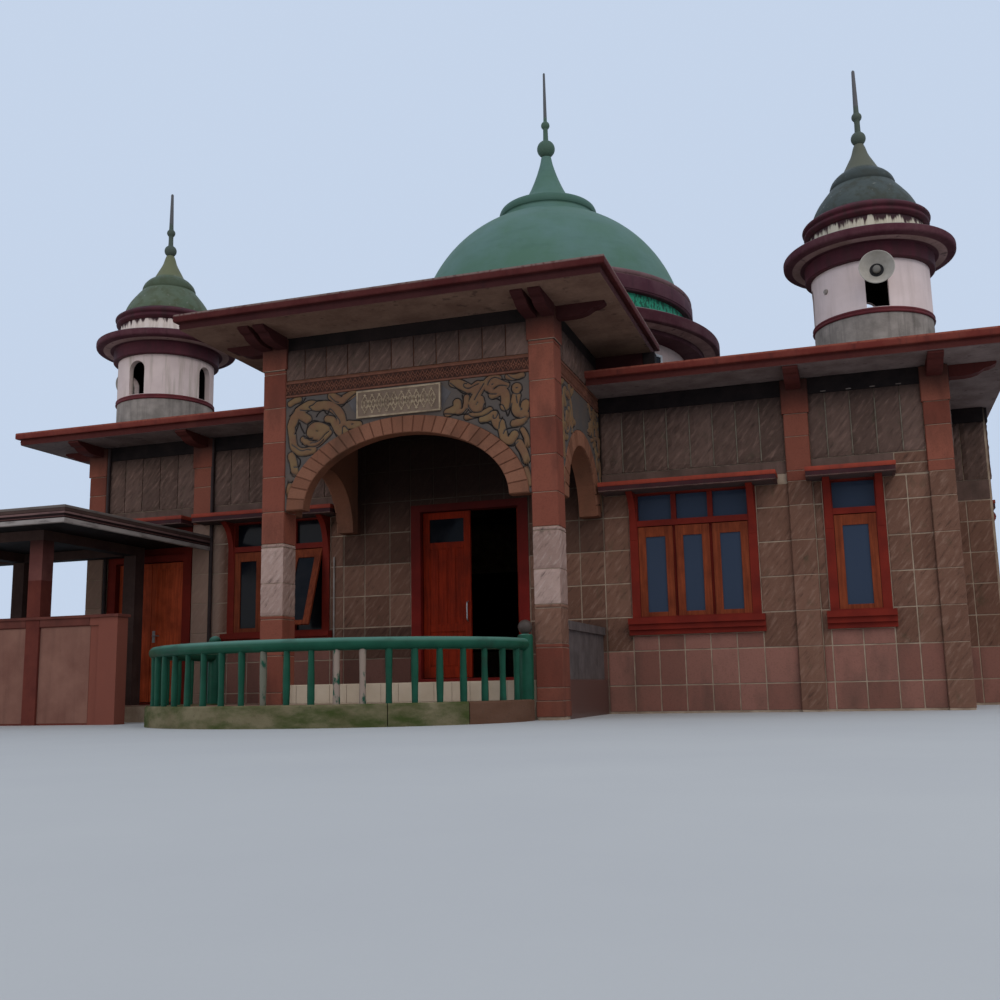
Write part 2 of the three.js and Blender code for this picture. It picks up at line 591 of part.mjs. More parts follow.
// The railing's line: back along the left side, then round the half ellipse to the newel post.
class RailLine extends THREE.Curve {
  constructor(z) {
    super();
    this.z = z;
    this.straight = T.tail - 60 - T.y;
    this.arc = Math.PI * Math.sqrt((T.a ** 2 + T.b ** 2) / 2);
  }

  getPoint(t) {
    const s = t * (this.straight + this.arc);
    if (s < this.straight) return new THREE.Vector3(T.x - T.a, T.tail - 60 - s, this.z);
    const angle = Math.PI + (Math.PI * (s - this.straight)) / this.arc;
    return new THREE.Vector3(T.x + T.a * Math.cos(angle), T.y + T.b * Math.sin(angle), this.z);
  }
}

function railing() {
  const line = new RailLine(RAIL.z);
  const ring = new THREE.Shape();
  ring.absarc(0, 0, RAIL.r, 0, 2 * Math.PI, false);
  const tube = new THREE.ExtrudeGeometry(ring, { steps: RAIL.steps, curveSegments: 4, extrudePath: line });
  const count = Math.round(line.getLength() / RAIL.spacing);
  const posts = Array.from({ length: count - 1 }, (_, i) => {
    const foot = line.getPointAt((i + 1) / count);
    return new THREE.CylinderGeometry(RAIL.balusterR, RAIL.balusterR, RAIL.z - T.kerbTop, 6)
      .rotateX(Math.PI / 2).translate(foot.x, foot.y, (RAIL.z + T.kerbTop) / 2);
  });
  const ball = ballPoints(RAIL.ballR, RAIL.newelTop + RAIL.ballR, RAIL.ballR / 2, 1, 4).slice(0, -1);
  const newels = [line.getPoint(0), line.getPoint(1)].map((foot) => turned([
    [0, T.kerbTop], [RAIL.newelR, T.kerbTop], [RAIL.newelR, RAIL.newelTop],
    ...ball, [0, RAIL.newelTop + 2 * RAIL.ballR],
  ], foot.x, foot.y, FINIAL_ROUND));
  return joined([tube, ...posts, ...newels]);
}

add("terrace_railing", railing(), RAIL_GREEN);

// Main dome: drum, canopy ring, patterned band with its ring, shell with collar, and finial.
// Every profile is a list of [radius, height] points from the inside out and up.
const D = { x: 0, y: DOME_Y };
const BAND = { bottom: 5850, inner: 2050 }; // underside and inner radius of the band on the canopy
const CANOPY_PROFILE = [
  [DRUM.r + GAP, 5470], [2500, 5470], [2500, 5535], [2760, 5560], [2760, 5730],
  [2715, 5760], [2250, BAND.bottom], [BAND.inner, BAND.bottom],
  [BAND.inner, DRUM.top + GAP], [DRUM.r + GAP, DRUM.top + GAP],
];
const BAND_PROFILE = [
  [BAND.inner, BAND.bottom], [2245, BAND.bottom], [2245, 6160], [2335, 6160], [2357, 6185], [2357, 6400],
  [2340, 6450], [2290, 6500], [2230, DOME.spring], [BAND.inner, DOME.spring],
];
const COLLAR = [
  [850, 8090], [800, 8215], [820, 8230], [820, 8335], [800, 8352], [650, 8410], [500, 8475], [400, 8550],
  [330, 8650],
];
const FINIAL = [
  [0, 8620], [320, 8640], [270, 8780], [232, 8880], [163, 9070], [115, 9220], [80, 9350],
  ...ballPoints(155, 9520, 60, 52, 4), ...ballPoints(75, 9960, 42, 35, 3), [8, 10955], [0, 10960],
];

add("dome_drum", turned([
  [DRUM.r - DRUM.wall, DRUM.bottom], [DRUM.r, DRUM.bottom],
  [DRUM.r, DRUM.top], [DRUM.r - DRUM.wall, DRUM.top],
], D.x, D.y, ROUND), PLASTER);
add("dome_canopy", turned(CANOPY_PROFILE, D.x, D.y, ROUND), MAROON);
add("dome_band", turned(BAND_PROFILE, D.x, D.y, ROUND), DOME_GREEN);

function domeShell() {
  const foot = COLLAR[0][1];
  const shell = [
    ...spherePoints(DOME.r, DOME.centre, DOME.spring, foot, 8).slice(0, -1),
    ...COLLAR,
    [0, COLLAR.at(-1)[1]],
    [0, DOME.centre + DOME.r - DOME.shell],
    ...spherePoints(DOME.r - DOME.shell, DOME.centre, DOME.spring, foot, 5).reverse(),
  ];
  return joined([turned(shell, D.x, D.y, ROUND), turned(FINIAL, D.x, D.y, FINIAL_ROUND)]);
}

add("dome_shell", domeShell(), DOME_GREEN);

// Turrets: a round tower with arched windows, a canopy with a small drum and ring, and a bell dome
const INNER = TURRET.r - TURRET.wall;
const TURRET_CANOPY = { bottom: 5330, top: 5890 };
const TOWER_PROFILE = [
  [INNER, ROOF_TOP], [TURRET.r, ROOF_TOP], [TURRET.r, 4495], [TURRET.r + 22, 4505], [TURRET.r + 22, 4555],
  [TURRET.r, 4565], [TURRET.r, 5150], [TURRET.r + 70, 5150], [TURRET.r + 70, TURRET_CANOPY.bottom],
  [INNER, TURRET_CANOPY.bottom],
];
const TURRET_CANOPY_PROFILE = [
  [INNER, TURRET_CANOPY.bottom + GAP], [770, TURRET_CANOPY.bottom + GAP], [960, 5345], [1003, 5400],
  [960, 5450], [680, 5490], [672, 5700], [745, 5740], [745, 5860], [700, TURRET_CANOPY.top],
  [INNER, TURRET_CANOPY.top],
];
const BELL = [
  [635, TURRET_CANOPY.top + GAP], [620, 5970], [560, 6090], [470, 6210], [380, 6320], [388, 6350],
  [310, 6470], [210, 6540],
];
const BELL_INSIDE = [[0, 6380], [200, 6330], [450, 6120], [575, TURRET_CANOPY.top + GAP]];
const TURRET_FINIAL = [
  [0, 6500], [225, 6530], [160, 6650], [90, 6770], [55, 6870],
  ...ballPoints(90, 6990, 45, 36, 3), ...ballPoints(62, 7280, 36, 30, 2), [6, 7915], [0, 7920],
];

function turretTower(x, y, turn) {
  const reach = TURRET.r + 100;
  const w = TURRET.windowWidth / 2;
  const shape = new THREE.Shape();
  shape.moveTo(w, TURRET.windowSill);
  shape.lineTo(w, TURRET.windowHead - w);
  shape.absarc(0, TURRET.windowHead - w, w, 0, Math.PI, false);
  shape.lineTo(-w, TURRET.windowSill);
  return cut(turned(TOWER_PROFILE, x, y, SMALL_ROUND), [turn, turn + 90].map((degrees) => (
    panel(shape, -reach, reach, 5).rotateZ(THREE.MathUtils.degToRad(degrees)).translate(x, y, 0))));
}

function turretDome(x, y) {
  return joined([
    turned([...BELL, [0, BELL.at(-1)[1]], ...BELL_INSIDE], x, y, SMALL_ROUND),
    turned(TURRET_FINIAL, x, y, FINIAL_ROUND),
  ]);
}

// A loudspeaker horn before a turret's wall, held by a strap to the wall above it. It is made on
// the turret's -y side, moved along the wall by shift, and turned about the tower's axis. The turns
// are whole steps of the tower's sides, so that the strap's end lies on the wall.
const HORN_SIZE = { rear: 40, length: 200, strap: 20, strapTop: 5140 };
const HORNS = [
  { node: "horn_left_side", side: -1, steps: -6, z: 5050, shift: 0 },
  { node: "horn_right_front", side: 1, steps: 0, z: 4940, shift: 58 },
  { node: "horn_right_side", side: 1, steps: 8, z: 5050, shift: 0 },
];
// From the axis of the inner cone, out over the bell's lip and back to the driver behind it.
const HORN_PROFILE = [
  [0, -15], [40, 0], [50, 60], [85, 60], [140, 10], [184, -60], [196, -60], [196, -48], [140, 35],
  [62, 110], [62, 200], [0, 200],
];

function horn({ side, steps, z, shift }) {
  const wallY = -TURRET.r;
  const bellY = wallY - HORN_SIZE.rear - HORN_SIZE.length;
  const profile = HORN_PROFILE.map(([r, h]) => new THREE.Vector2(r, h));
  return joined([
    new THREE.LatheGeometry(profile, FINIAL_ROUND).translate(shift, bellY, z),
    block(-HORN_SIZE.strap, HORN_SIZE.strap, wallY - HORN_SIZE.rear - 60, wallY - GAP,
      z + 10, HORN_SIZE.strapTop),
  ]).rotateZ((steps * 2 * Math.PI) / SMALL_ROUND).translate(side * TURRET.x, TURRET.y, 0);
}

for (const [place, side] of [["left", -1], ["right", 1]]) {
  const x = side * TURRET.x;
  add(`turret_${place}_tower`, turretTower(x, TURRET.y, TURRET_TURN[place]), PLASTER);
  add(`turret_${place}_canopy`, turned(TURRET_CANOPY_PROFILE, x, TURRET.y, SMALL_ROUND), MAROON);
  add(`turret_${place}_dome`, turretDome(x, TURRET.y), DOME_GREEN);
}
for (const each of HORNS) add(each.node, horn(each), HORN);

// Pavilion: a flat layered roof on two rows of columns, and a low wall in front. The rear row is
// one casting with the roof; the front row rises from the low wall.
const P = PAVILION;
add("pavilion_roof", joined([
  block(P.left, P.right, P.front, P.rear, P.top - 60, P.top),
  block(P.left + 40, P.right - 40, P.front + 40, P.rear, P.soffit, P.top - 59),
  ...[P.frontRow, P.rearRow].map((y) => block(
    P.columns[2] - P.column / 2, P.columns[0] + P.column / 2, y - P.column / 2, y + P.column / 2,
    P.beam, P.soffit + 1)),
  ...P.columns.map((x) => block(
    x - P.column / 2, x + P.column / 2, P.frontRow, P.rearRow, P.beam, P.soffit + 1)),
  ...P.columns.map((x) => block(
    x - P.column / 2, x + P.column / 2, P.rearRow - P.column / 2, P.rearRow + P.column / 2,
    x > SIDE_DOOR.x0 ? T.top : 0, P.beam + 1)),
]), CONCRETE);
add("pavilion_low_wall", joined([
  block(P.columns[2] - 95, P.wallEnd, P.frontRow - P.wall / 2, P.frontRow + P.wall / 2, 0, P.coping - 1),
  block(P.columns[2] - 110, P.wallEnd, P.frontRow - 90, P.frontRow + 90, P.coping - P.copingThick, P.coping),
  ...P.columns.map((x) => block(
    x - P.column / 2, x + P.column / 2, P.frontRow - P.column / 2, P.frontRow + P.column / 2, 0, P.beam)),
  block(P.wallEnd - P.pierWidth, P.wallEnd, P.frontRow - 95, P.frontRow + 95, 0, P.coping),
]), RED_STONE);
model.position.y = -DOME_Y;
const mosque = new THREE.Group();
mosque.add(model);

export default mosque;
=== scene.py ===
# %% [markdown]
# # A village mosque, dressed
# The frame holds every solid of the building in metres. Its origin lies on the ground under the dome's
# axis, +X runs to the right of the facade and +Y to the rear. This lesson adds what a builder's hands and
# the weather add: tiles and their joints, rough stone plates, carving, mouldings, window bars, railings,
# paint, moss and wear. Straight masonry keeps its solid and gets a skin of plates; round or moulded
# pieces are drawn anew in the same place and stand for their solids.

# %% Load the frame
import math

import bmesh
import bpy
import numpy as np
from mathutils import Matrix, Vector


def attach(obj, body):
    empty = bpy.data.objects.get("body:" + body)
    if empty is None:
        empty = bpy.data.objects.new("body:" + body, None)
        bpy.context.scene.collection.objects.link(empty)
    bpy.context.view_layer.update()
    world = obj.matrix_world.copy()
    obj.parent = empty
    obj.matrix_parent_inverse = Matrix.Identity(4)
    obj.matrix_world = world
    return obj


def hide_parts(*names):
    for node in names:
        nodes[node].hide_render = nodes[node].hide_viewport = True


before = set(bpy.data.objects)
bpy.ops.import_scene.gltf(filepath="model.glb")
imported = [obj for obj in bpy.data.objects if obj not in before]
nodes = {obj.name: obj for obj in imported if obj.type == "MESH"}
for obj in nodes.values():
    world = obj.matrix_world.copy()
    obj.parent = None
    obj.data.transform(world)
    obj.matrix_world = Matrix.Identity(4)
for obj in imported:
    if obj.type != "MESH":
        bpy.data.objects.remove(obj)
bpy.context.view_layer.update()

# %% [markdown]
# The camera stands where the photographer stood, low and to the right of the entrance, looking up and to
# the left. The sky is an even overcast, so the world lights everything softly. One wide lamp gives the
# round forms a light side, and a weak low one lights the soffits. The floor is pale and plain.

# %% Camera, light and floor
CAMERA = {"place": (4.5837, -17.089, 0.34), "yaw": 17.9891, "pitch": 9.7067, "roll": -1.1353, "lens": 39.318}
SKY = (0.56, 0.66, 0.82)
FLOOR_HALF = 150.0


def aim_camera(place, yaw, pitch, roll, lens):
    """Looks along (-sin yaw cos pitch, cos yaw cos pitch, sin pitch), then turns by roll about that line."""
    yaw, pitch, roll = (math.radians(angle) for angle in (yaw, pitch, roll))
    ahead = Vector((-math.sin(yaw) * math.cos(pitch), math.cos(yaw) * math.cos(pitch), math.sin(pitch)))
    right = Vector((math.cos(yaw), math.sin(yaw), 0))
    up = right.cross(ahead)
    tilted_right = right * math.cos(roll) + up * math.sin(roll)
    tilted_up = up * math.cos(roll) - right * math.sin(roll)
    camera = bpy.data.objects.new("photo_view", bpy.data.cameras.new("photo_view"))
    camera.data.lens, camera.data.clip_end = lens, 500
    camera.matrix_world = Matrix((tilted_right, tilted_up, -ahead)).transposed().to_4x4()
    camera.matrix_world.translation = place
    return camera


camera = aim_camera(**CAMERA)
bpy.context.scene.collection.objects.link(camera)
bpy.context.scene.camera = camera
bpy.context.scene.view_settings.view_transform = "Standard"

world = bpy.data.worlds.new("overcast")
world.use_nodes = True
world.node_tree.nodes["Background"].inputs["Color"].default_value = (*SKY, 1)
bpy.context.scene.world = world


def hang_lamp(name, energy, size, colour, place, aim):
    """A square lamp of that size in metres, which faces aim."""
    lamp = bpy.data.lights.new(name, "AREA")
    lamp.energy, lamp.size, lamp.color = energy, size, colour
    holder = bpy.data.objects.new(name, lamp)
    holder.location = place
    holder.rotation_euler = (Vector(aim) - Vector(place)).to_track_quat("-Z", "Y").to_euler()
    bpy.context.scene.collection.objects.link(holder)


hang_lamp("soft_box", 1100, 16, (1.0, 0.92, 0.80), (12, -15, 16), (0, 0, 4))
hang_lamp("fill", 420, 12, (1.0, 0.93, 0.84), (-12, -15, 2.5), (-2, 0, 3.5))
print("camera at", CAMERA["place"], "with a lens of", CAMERA["lens"], "mm; two lamps")

# %% [markdown]
# Every new piece starts as arrays of points and faces. One function turns them into a mesh, merges the
# doubles at seams and poles, turns the faces outwards and gives the piece its finish and its body.
# A "tone" is one random number for each tile or plate, which the finishes use to vary its colour.

# %% From arrays to pieces
def closed_mesh(name, points, faces, tones=None):
    """Merges the doubles and turns the faces outwards. tones holds one number per point."""
    mesh = bpy.data.meshes.new(name)
    mesh.from_pydata(np.asarray(points).reshape(-1, 3).tolist(), [], faces)
    if tones is not None:
        mesh.attributes.new("tone", "FLOAT", "POINT").data.foreach_set(
            "value", np.asarray(tones, np.float32).ravel())
    work = bmesh.new()
    work.from_mesh(mesh)
    bmesh.ops.remove_doubles(work, verts=work.verts, dist=2e-5)
    bmesh.ops.dissolve_degenerate(work, dist=1e-6, edges=work.edges)
    bmesh.ops.recalc_face_normals(work, faces=work.faces)
    work.to_mesh(mesh)
    work.free()
    return mesh


def new_piece(name, points, faces, finish, slot, body="building", tones=None, smooth=None, stands_for=()):
    """smooth is the angle, in degrees, above which an edge stays sharp; None leaves every face flat."""
    mesh = closed_mesh(name, points, faces, tones)
    if smooth is not None:
        mesh.shade_smooth()
        mesh.set_sharp_from_angle(angle=math.radians(smooth))
    mesh.materials.append(finish)
    piece = bpy.data.objects.new(name, mesh)
    bpy.context.scene.collection.objects.link(piece)
    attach(piece, body)
    if stands_for:
        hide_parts(*stands_for)
    print(f"{name}: {len(mesh.polygons)} faces")
    return piece


def grid_faces(rows, columns, ring_rows=False, ring_columns=False):
    """Four-sided faces of a rows x columns grid of points; a ring joins the last line to the first."""
    i = np.arange(rows if ring_rows else rows - 1)[:, None]
    j = np.arange(columns if ring_columns else columns - 1)[None, :]
    here, right = i * columns + j, i * columns + (j + 1) % columns
    below = (i + 1) % rows * columns
    return np.stack([here, right, below + (j + 1) % columns, below + j], -1).reshape(-1, 4).tolist()


def capped_faces(rows, columns):
    """Faces of a bar: each row of the grid is a ring, and the first and last rings are filled."""
    rings = np.arange(rows * columns).reshape(rows, columns).tolist()
    return grid_faces(rows, columns, ring_columns=True) + [rings[0], rings[-1]]


def rim_of(rows, columns):
    """The outermost points of a rows x columns grid, once round."""
    order = np.arange(rows * columns).reshape(rows, columns)
    return [*order[0, :-1], *order[:-1, -1], *order[-1, :0:-1], *order[:0:-1, 0]]


class Heap:
    """Collects many small shapes that share one mesh, with their tones."""

    def __init__(self):
        self.points, self.faces, self.tones, self.count = [], [], [], 0

    def add(self, points, faces, tone=0.5):
        """points is an array of any shape ending in 3; faces are lists of indices into it; tone is one
        number, or one for each point."""
        points = np.asarray(points, float).reshape(-1, 3)
        self.points.append(points)
        self.faces.extend([[int(corner) + self.count for corner in face] for face in faces])
        self.tones.append(np.broadcast_to(np.asarray(tone, float).ravel(), (len(points),)))
        self.count += len(points)

    def make(self, name, finish, slot, **more):
        return new_piece(name, np.concatenate(self.points), self.faces, finish, slot,
                         tones=np.concatenate(self.tones), **more)


print("piece tools ready")

# %% [markdown]
# A finish is a material whose colour, roughness and small relief come from nodes. They all start from
# Object coordinates, which are metres on the building, so that a stain or a grain has its real size and
# stays where it is in every view. Walls are flat and face along X or Y, so x + y runs along any wall and z
# runs up it: strokes and drips use those two.

# %% A short language for finishes
class Finish:
    """One material. Sockets take numbers, colours or the outputs of other nodes."""

    def __init__(self, name, roughness=0.85, **sockets):
        self.material = bpy.data.materials.new(name)
        self.material.use_nodes = True
        self.tree = self.material.node_tree
        self.shader = self.tree.nodes["Principled BSDF"]
        self.shader.inputs["Roughness"].default_value = roughness
        self.shader.inputs["Specular IOR Level"].default_value = 0.12
        for socket, value in sockets.items():
            self.shader.inputs[socket.replace("_", " ")].default_value = value
        self.here = self.node("ShaderNodeTexCoord").outputs["Object"]
        split = self.node("ShaderNodeSeparateXYZ", {0: self.here})
        self.x, self.y, self.z = split.outputs
        self.along = self.plus(self.x, self.y)

    def node(self, kind, feeds=(), **settings):
        made = self.tree.nodes.new(kind)
        for key, value in settings.items():
            setattr(made, key, value)
        for key, value in dict(feeds).items():
            if isinstance(value, bpy.types.NodeSocket):
                self.tree.links.new(value, made.inputs[key])
            elif isinstance(value, tuple) and len(value) == 3 and made.inputs[key].type == "RGBA":
                made.inputs[key].default_value = (*value, 1)
            else:
                made.inputs[key].default_value = value
        return made

    def math(self, operation, first, second=0.0):
        return self.node("ShaderNodeMath", {0: first, 1: second}, operation=operation).outputs[0]

    def times(self, first, second):
        return self.math("MULTIPLY", first, second)

    def plus(self, first, second):
        return self.math("ADD", first, second)

    def noise(self, scale, stretch=(1, 1, 1), detail=4.0, where=None):
        """Cloudy values around 0.5. stretch multiplies the coordinates: a small number draws them long."""
        place = self.node("ShaderNodeMapping", {"Vector": where or self.here, "Scale": stretch}).outputs[0]
        return self.node("ShaderNodeTexNoise", {
            "Vector": place, "Scale": scale, "Detail": detail, "Roughness": 0.6}).outputs["Fac"]

    def steps(self, value, low, high, first=0.0, last=1.0):
        """first below low, last above high, and a straight line between."""
        return self.node("ShaderNodeMapRange", {0: value, 1: low, 2: high, 3: first, 4: last}).outputs[0]

    def mix(self, share, first, second):
        """first where share is 0, second where it is 1."""
        return self.node("ShaderNodeMix", {0: share, 6: first, 7: second}, data_type="RGBA").outputs[2]

    def tone(self):
        return self.node("ShaderNodeAttribute", attribute_name="tone").outputs["Fac"]

    def wall_place(self):
        return self.node("ShaderNodeCombineXYZ", {0: self.along, 1: self.z}).outputs[0]

    def normal(self, axis):
        geometry = self.node("ShaderNodeNewGeometry")
        return self.node("ShaderNodeSeparateXYZ", {0: geometry.outputs["Normal"]}).outputs[axis]

    def eaves(self):
        """How far painted shade and soot darken a wall: 1 close under a soffit, 0 well below it. The
        portico's soffit is 0.53 m above the hall's.
        """
        drop = self.steps(self.y, -4.37, -4.36, 0.53, 0)
        return self.steps(self.math("SUBTRACT", self.z, drop), 3.42, 3.68)

    def porch(self):
        """How dark the hall's front wall is under the portico: clean at hand height, half dark at the foot,
        which is damp, and, as painted shade, half dark above a door's handle and almost black towards the
        soffit."""
        under = self.times(self.steps(self.math("ABSOLUTE", self.x), 1.73, 1.76, 1, 0),
                           self.steps(self.y, -4.1, -4.0, 1, 0))
        under = self.times(under, self.steps(self.y, -4.37, -4.36))
        foot = self.steps(self.z, 1.10, 1.115, 0.5, 0)
        upper = self.steps(self.z, 1.915, 1.925, 0, 0.5)
        top = self.steps(self.z, 2.3, 2.8, 0, 0.42)
        return self.times(under, self.plus(self.plus(upper, top), foot))

    def reach(self, x, y):
        """Distance from the upright line through (x, y) or its twin on the other side of the middle."""
        across = self.math("SUBTRACT", self.math("ABSOLUTE", self.x), x)
        deep = self.math("SUBTRACT", self.y, y)
        return self.math("SQRT", self.plus(self.times(across, across), self.times(deep, deep)))

    def done(self, colour, height=None, depth=0.002, rough=None):
        """Joins colour to the shader, and height, from 0 to 1, as relief of that depth in metres."""
        self.tree.links.new(colour, self.shader.inputs["Base Color"])
        if rough is not None:
            self.tree.links.new(rough, self.shader.inputs["Roughness"])
        if height is not None:
            bump = self.node("ShaderNodeBump", {"Height": height, "Distance": depth, "Strength": 1.0})
            self.tree.links.new(bump.outputs[0], self.shader.inputs["Normal"])
        return self.material


print("a finish starts at Object coordinates")

# %% [markdown]
# The hall is clad in thin stone. Rough plates, cut with slanting chisel strokes, stand in tall rows above
# the windows; smaller ones with cream joints lie below; smooth red ones cover the foot and the corner
# strips' upper ends. All take a random tone for each plate. Both finishes end with the same two dark
# layers: painted shade and soot close under a soffit, and painted shade and damp under the portico.

# %% Stone finishes
SOFFIT_SHADE_AND_SOOT = (0.018, 0.012, 0.011)
PORCH_SHADE_AND_DAMP = (0.016, 0.009, 0.008)
CHISEL_TURN = -52


def make_tile_stone(name, dark, pale, grime):
    f = Finish(name, roughness=0.78)
    cloud = f.noise(3.1, detail=6)
    grain = f.noise(60, detail=3)
    colour = f.mix(f.plus(f.times(f.tone(), 0.7), f.times(cloud, 0.35)), dark, pale)
    colour = f.mix(f.steps(grain, 0.5, 0.75, 0, 0.35), colour, (*(0.6 * c for c in dark),))
    soot = f.noise(2.2, stretch=(1.4, 1.4, 0.5), detail=5)
    colour = f.mix(f.steps(soot, 0.48, 0.72, 0, 0.65), colour, grime)
    foot = f.times(f.steps(f.z, 0.05, 0.9, 1, 0), f.steps(cloud, 0.35, 0.6))
    colour = f.mix(f.times(foot, 0.2), colour, (0.035, 0.034, 0.02))
    # Painted shade and soot close under a soffit; painted shade, and damp at the foot, under the portico.
    colour = f.mix(f.times(f.eaves(), 0.72), colour, (0.022, 0.012, 0.011))
    colour = f.mix(f.porch(), colour, PORCH_SHADE_AND_DAMP)
    return f.done(colour, f.plus(grain, f.times(cloud, 0.6)), 0.0022)


def make_rough_stone(name, dark, pale, flake):
    """Chisel strokes: noise drawn long, on coordinates turned so that the strokes rise to the right. Low
    on the front's left end the stone is bleached."""
    f = Finish(name, roughness=0.9)
    slanting = f.node("ShaderNodeMapping", {"Vector": f.wall_place(),
                                            "Rotation": (0, 0, math.radians(CHISEL_TURN))})
    strokes = f.noise(24, stretch=(0.22, 1, 1), detail=5, where=slanting.outputs[0])
    cloud = f.noise(5, detail=5)
    grain = f.noise(85, detail=2)
    colour = f.mix(f.plus(f.times(f.tone(), 0.55), f.times(cloud, 0.45)), dark, pale)
    colour = f.mix(f.steps(strokes, 0.53, 0.70, 0, 0.6), colour, flake)
    # Painted shade in the troughs of the chisel strokes.
    colour = f.mix(f.steps(strokes, 0.28, 0.44, 0.6, 0), colour, (0.03, 0.02, 0.016))
    moss = f.noise(7, stretch=(1, 1, 0.6), detail=6)
    colour = f.mix(f.steps(moss, 0.58, 0.74, 0, 0.45), colour, (0.05, 0.055, 0.028))
    bleached = f.times(f.steps(f.x, -3.6, -3.5, 0.4, 0), f.steps(f.z, 2.58, 2.6, 1, 0))
    bleached = f.times(bleached, f.steps(f.y, -4.2, -4.1, 1, 0))
    colour = f.mix(bleached, colour, (0.56, 0.38, 0.28))
    # Painted shade and soot close under a soffit; painted shade, and damp at the foot, under the portico.
    colour = f.mix(f.times(f.eaves(), 0.85), colour, SOFFIT_SHADE_AND_SOOT)
    colour = f.mix(f.porch(), colour, PORCH_SHADE_AND_DAMP)
    relief = f.plus(strokes, f.times(grain, 0.3))
    return f.done(colour, relief, 0.012)


TILE_STONE = make_rough_stone("wall_tile", (0.128, 0.059, 0.038), (0.245, 0.122, 0.080), (0.32, 0.19, 0.135))
LOW_TILE = make_tile_stone("low_tile", (0.20, 0.078, 0.055), (0.34, 0.15, 0.11), (0.11, 0.06, 0.045))
RED_TILE = make_tile_stone("red_tile", (0.17, 0.042, 0.026), (0.29, 0.092, 0.056), (0.075, 0.028, 0.019))
ROUGH_STONE = make_rough_stone("rough_plate", (0.082, 0.048, 0.036), (0.18, 0.107, 0.082),
                               (0.28, 0.165, 0.125))
PALE_ROUGH = make_rough_stone("pale_rough_block", (0.26, 0.155, 0.12), (0.50, 0.34, 0.28),
                              (0.56, 0.42, 0.36))
print("stone finishes:", TILE_STONE.name, LOW_TILE.name, RED_TILE.name, ROUGH_STONE.name, PALE_ROUGH.name)

# %% [markdown]
# Mortar, plaster, concrete and paint are simpler. One function makes them all from two colours in clouds,
# a fine grain and, where rain runs down, drips: noise that is drawn tall. Only mortar has its own function,
# because it looks at which way a face points.

# %% Mortar, plaster, concrete and paint finishes
def make_plain(name, colour, second, roughness=0.85, scale=4.0, depth=0.0015, drip=0.0,
               drip_colour=(0.03, 0.025, 0.02), hollow=None, shaded_from=None):
    """A base colour clouded with a second one, a fine grain, and drips that run down the wall. hollow holds
    an upright line and a radius within which painted shade makes all near black; sooty holds the height
    from which painted shade begins."""
    f = Finish(name, roughness=roughness)
    cloud = f.noise(scale, detail=6)
    grain = f.noise(70, detail=3)
    mixed = f.mix(f.steps(cloud, 0.35, 0.68), colour, second)
    if drip:
        run = f.noise(11, stretch=(1, 1, 0.07), detail=5)
        mixed = f.mix(f.steps(run, 0.5, 0.72, 0, drip), mixed, drip_colour)
    # Painted shade: all near black within that radius of the line.
    if hollow:
        centre, radius = hollow
        mixed = f.mix(f.steps(f.reach(*centre), radius, radius + 0.01, 1, 0), mixed, (0.008, 0.006, 0.006))
    # Painted shade that darkens upwards from that height.
    if shaded_from:
        mixed = f.mix(f.steps(f.z, shaded_from, shaded_from + 1.2, 0, 0.65), mixed, (0.02, 0.006, 0.005))
    return f.done(mixed, f.plus(grain, cloud), depth)


def make_mortar():
    """Cream where a wall faces sideways, but darkened by painted shade and soot close under a soffit and by
    painted shade and damp under the portico; dull pink on undersides and grey on tops."""
    f = Finish("mortar", roughness=0.92)
    cloud = f.noise(6, detail=6)
    colour = f.mix(f.steps(cloud, 0.35, 0.68), (0.46, 0.34, 0.24), (0.28, 0.19, 0.13))
    # Painted shade and soot close under a soffit; painted shade, and damp at the foot, under the portico.
    colour = f.mix(f.times(f.eaves(), 0.85), colour, SOFFIT_SHADE_AND_SOOT)
    colour = f.mix(f.porch(), colour, (0.012, 0.007, 0.006))
    colour = f.mix(f.steps(f.normal(2), -0.7, -0.5, 1, 0), colour, (0.085, 0.055, 0.05))
    colour = f.mix(f.steps(f.normal(2), 0.5, 0.7), colour, (0.16, 0.15, 0.135))
    return f.done(colour, cloud, 0.003)


MORTAR = make_mortar()
MAROON = make_plain("maroon_paint", (0.092, 0.022, 0.030), (0.052, 0.015, 0.02), 0.62, 3, 0.0012, 0.55)
BEAD_RED = make_plain("bead_red", (0.15, 0.028, 0.030), (0.10, 0.02, 0.024), 0.62, 3, 0.0012, 0.3)
PINK_PLASTER = make_plain("pink_plaster", (0.60, 0.45, 0.41), (0.50, 0.36, 0.32), 0.86, 2.4, 0.001, 0.22,
                          (0.24, 0.17, 0.13))
GREY_CONCRETE = make_plain("grey_concrete", (0.36, 0.30, 0.26), (0.21, 0.175, 0.15), 0.93, 5, 0.003, 0.5)
# A darker copy of the grey concrete: painted shade on the porch's side wall.
PORCH_WALL_SHADED = make_plain("porch_wall_with_painted_shade", (0.13, 0.10, 0.092), (0.085, 0.064, 0.058), 0.93, 5, 0.003, 0.4)
# The main door frame darkens upwards from 1.5 m: painted shade under the portico.
PAINTED_RED = make_plain("painted_red", (0.20, 0.014, 0.009), (0.13, 0.009, 0.006), 0.7, 3, 0.0008,
                         shaded_from=1.5)
WINDOW_RED = make_plain("window_red", (0.20, 0.018, 0.009), (0.13, 0.012, 0.007), 0.7, 3, 0.0008)
PALE_FLOOR = make_plain("pale_floor", (0.52, 0.51, 0.49), (0.50, 0.49, 0.475), 0.9, 0.7, 0.0005)
print("plain finishes:", MORTAR.name, MAROON.name, PINK_PLASTER.name, GREY_CONCRETE.name, PALE_FLOOR.name)

# %% [markdown]
# The floor is one wide, thin block of pale plaster under the building. It's the stage, so it isn't part of
# the object.

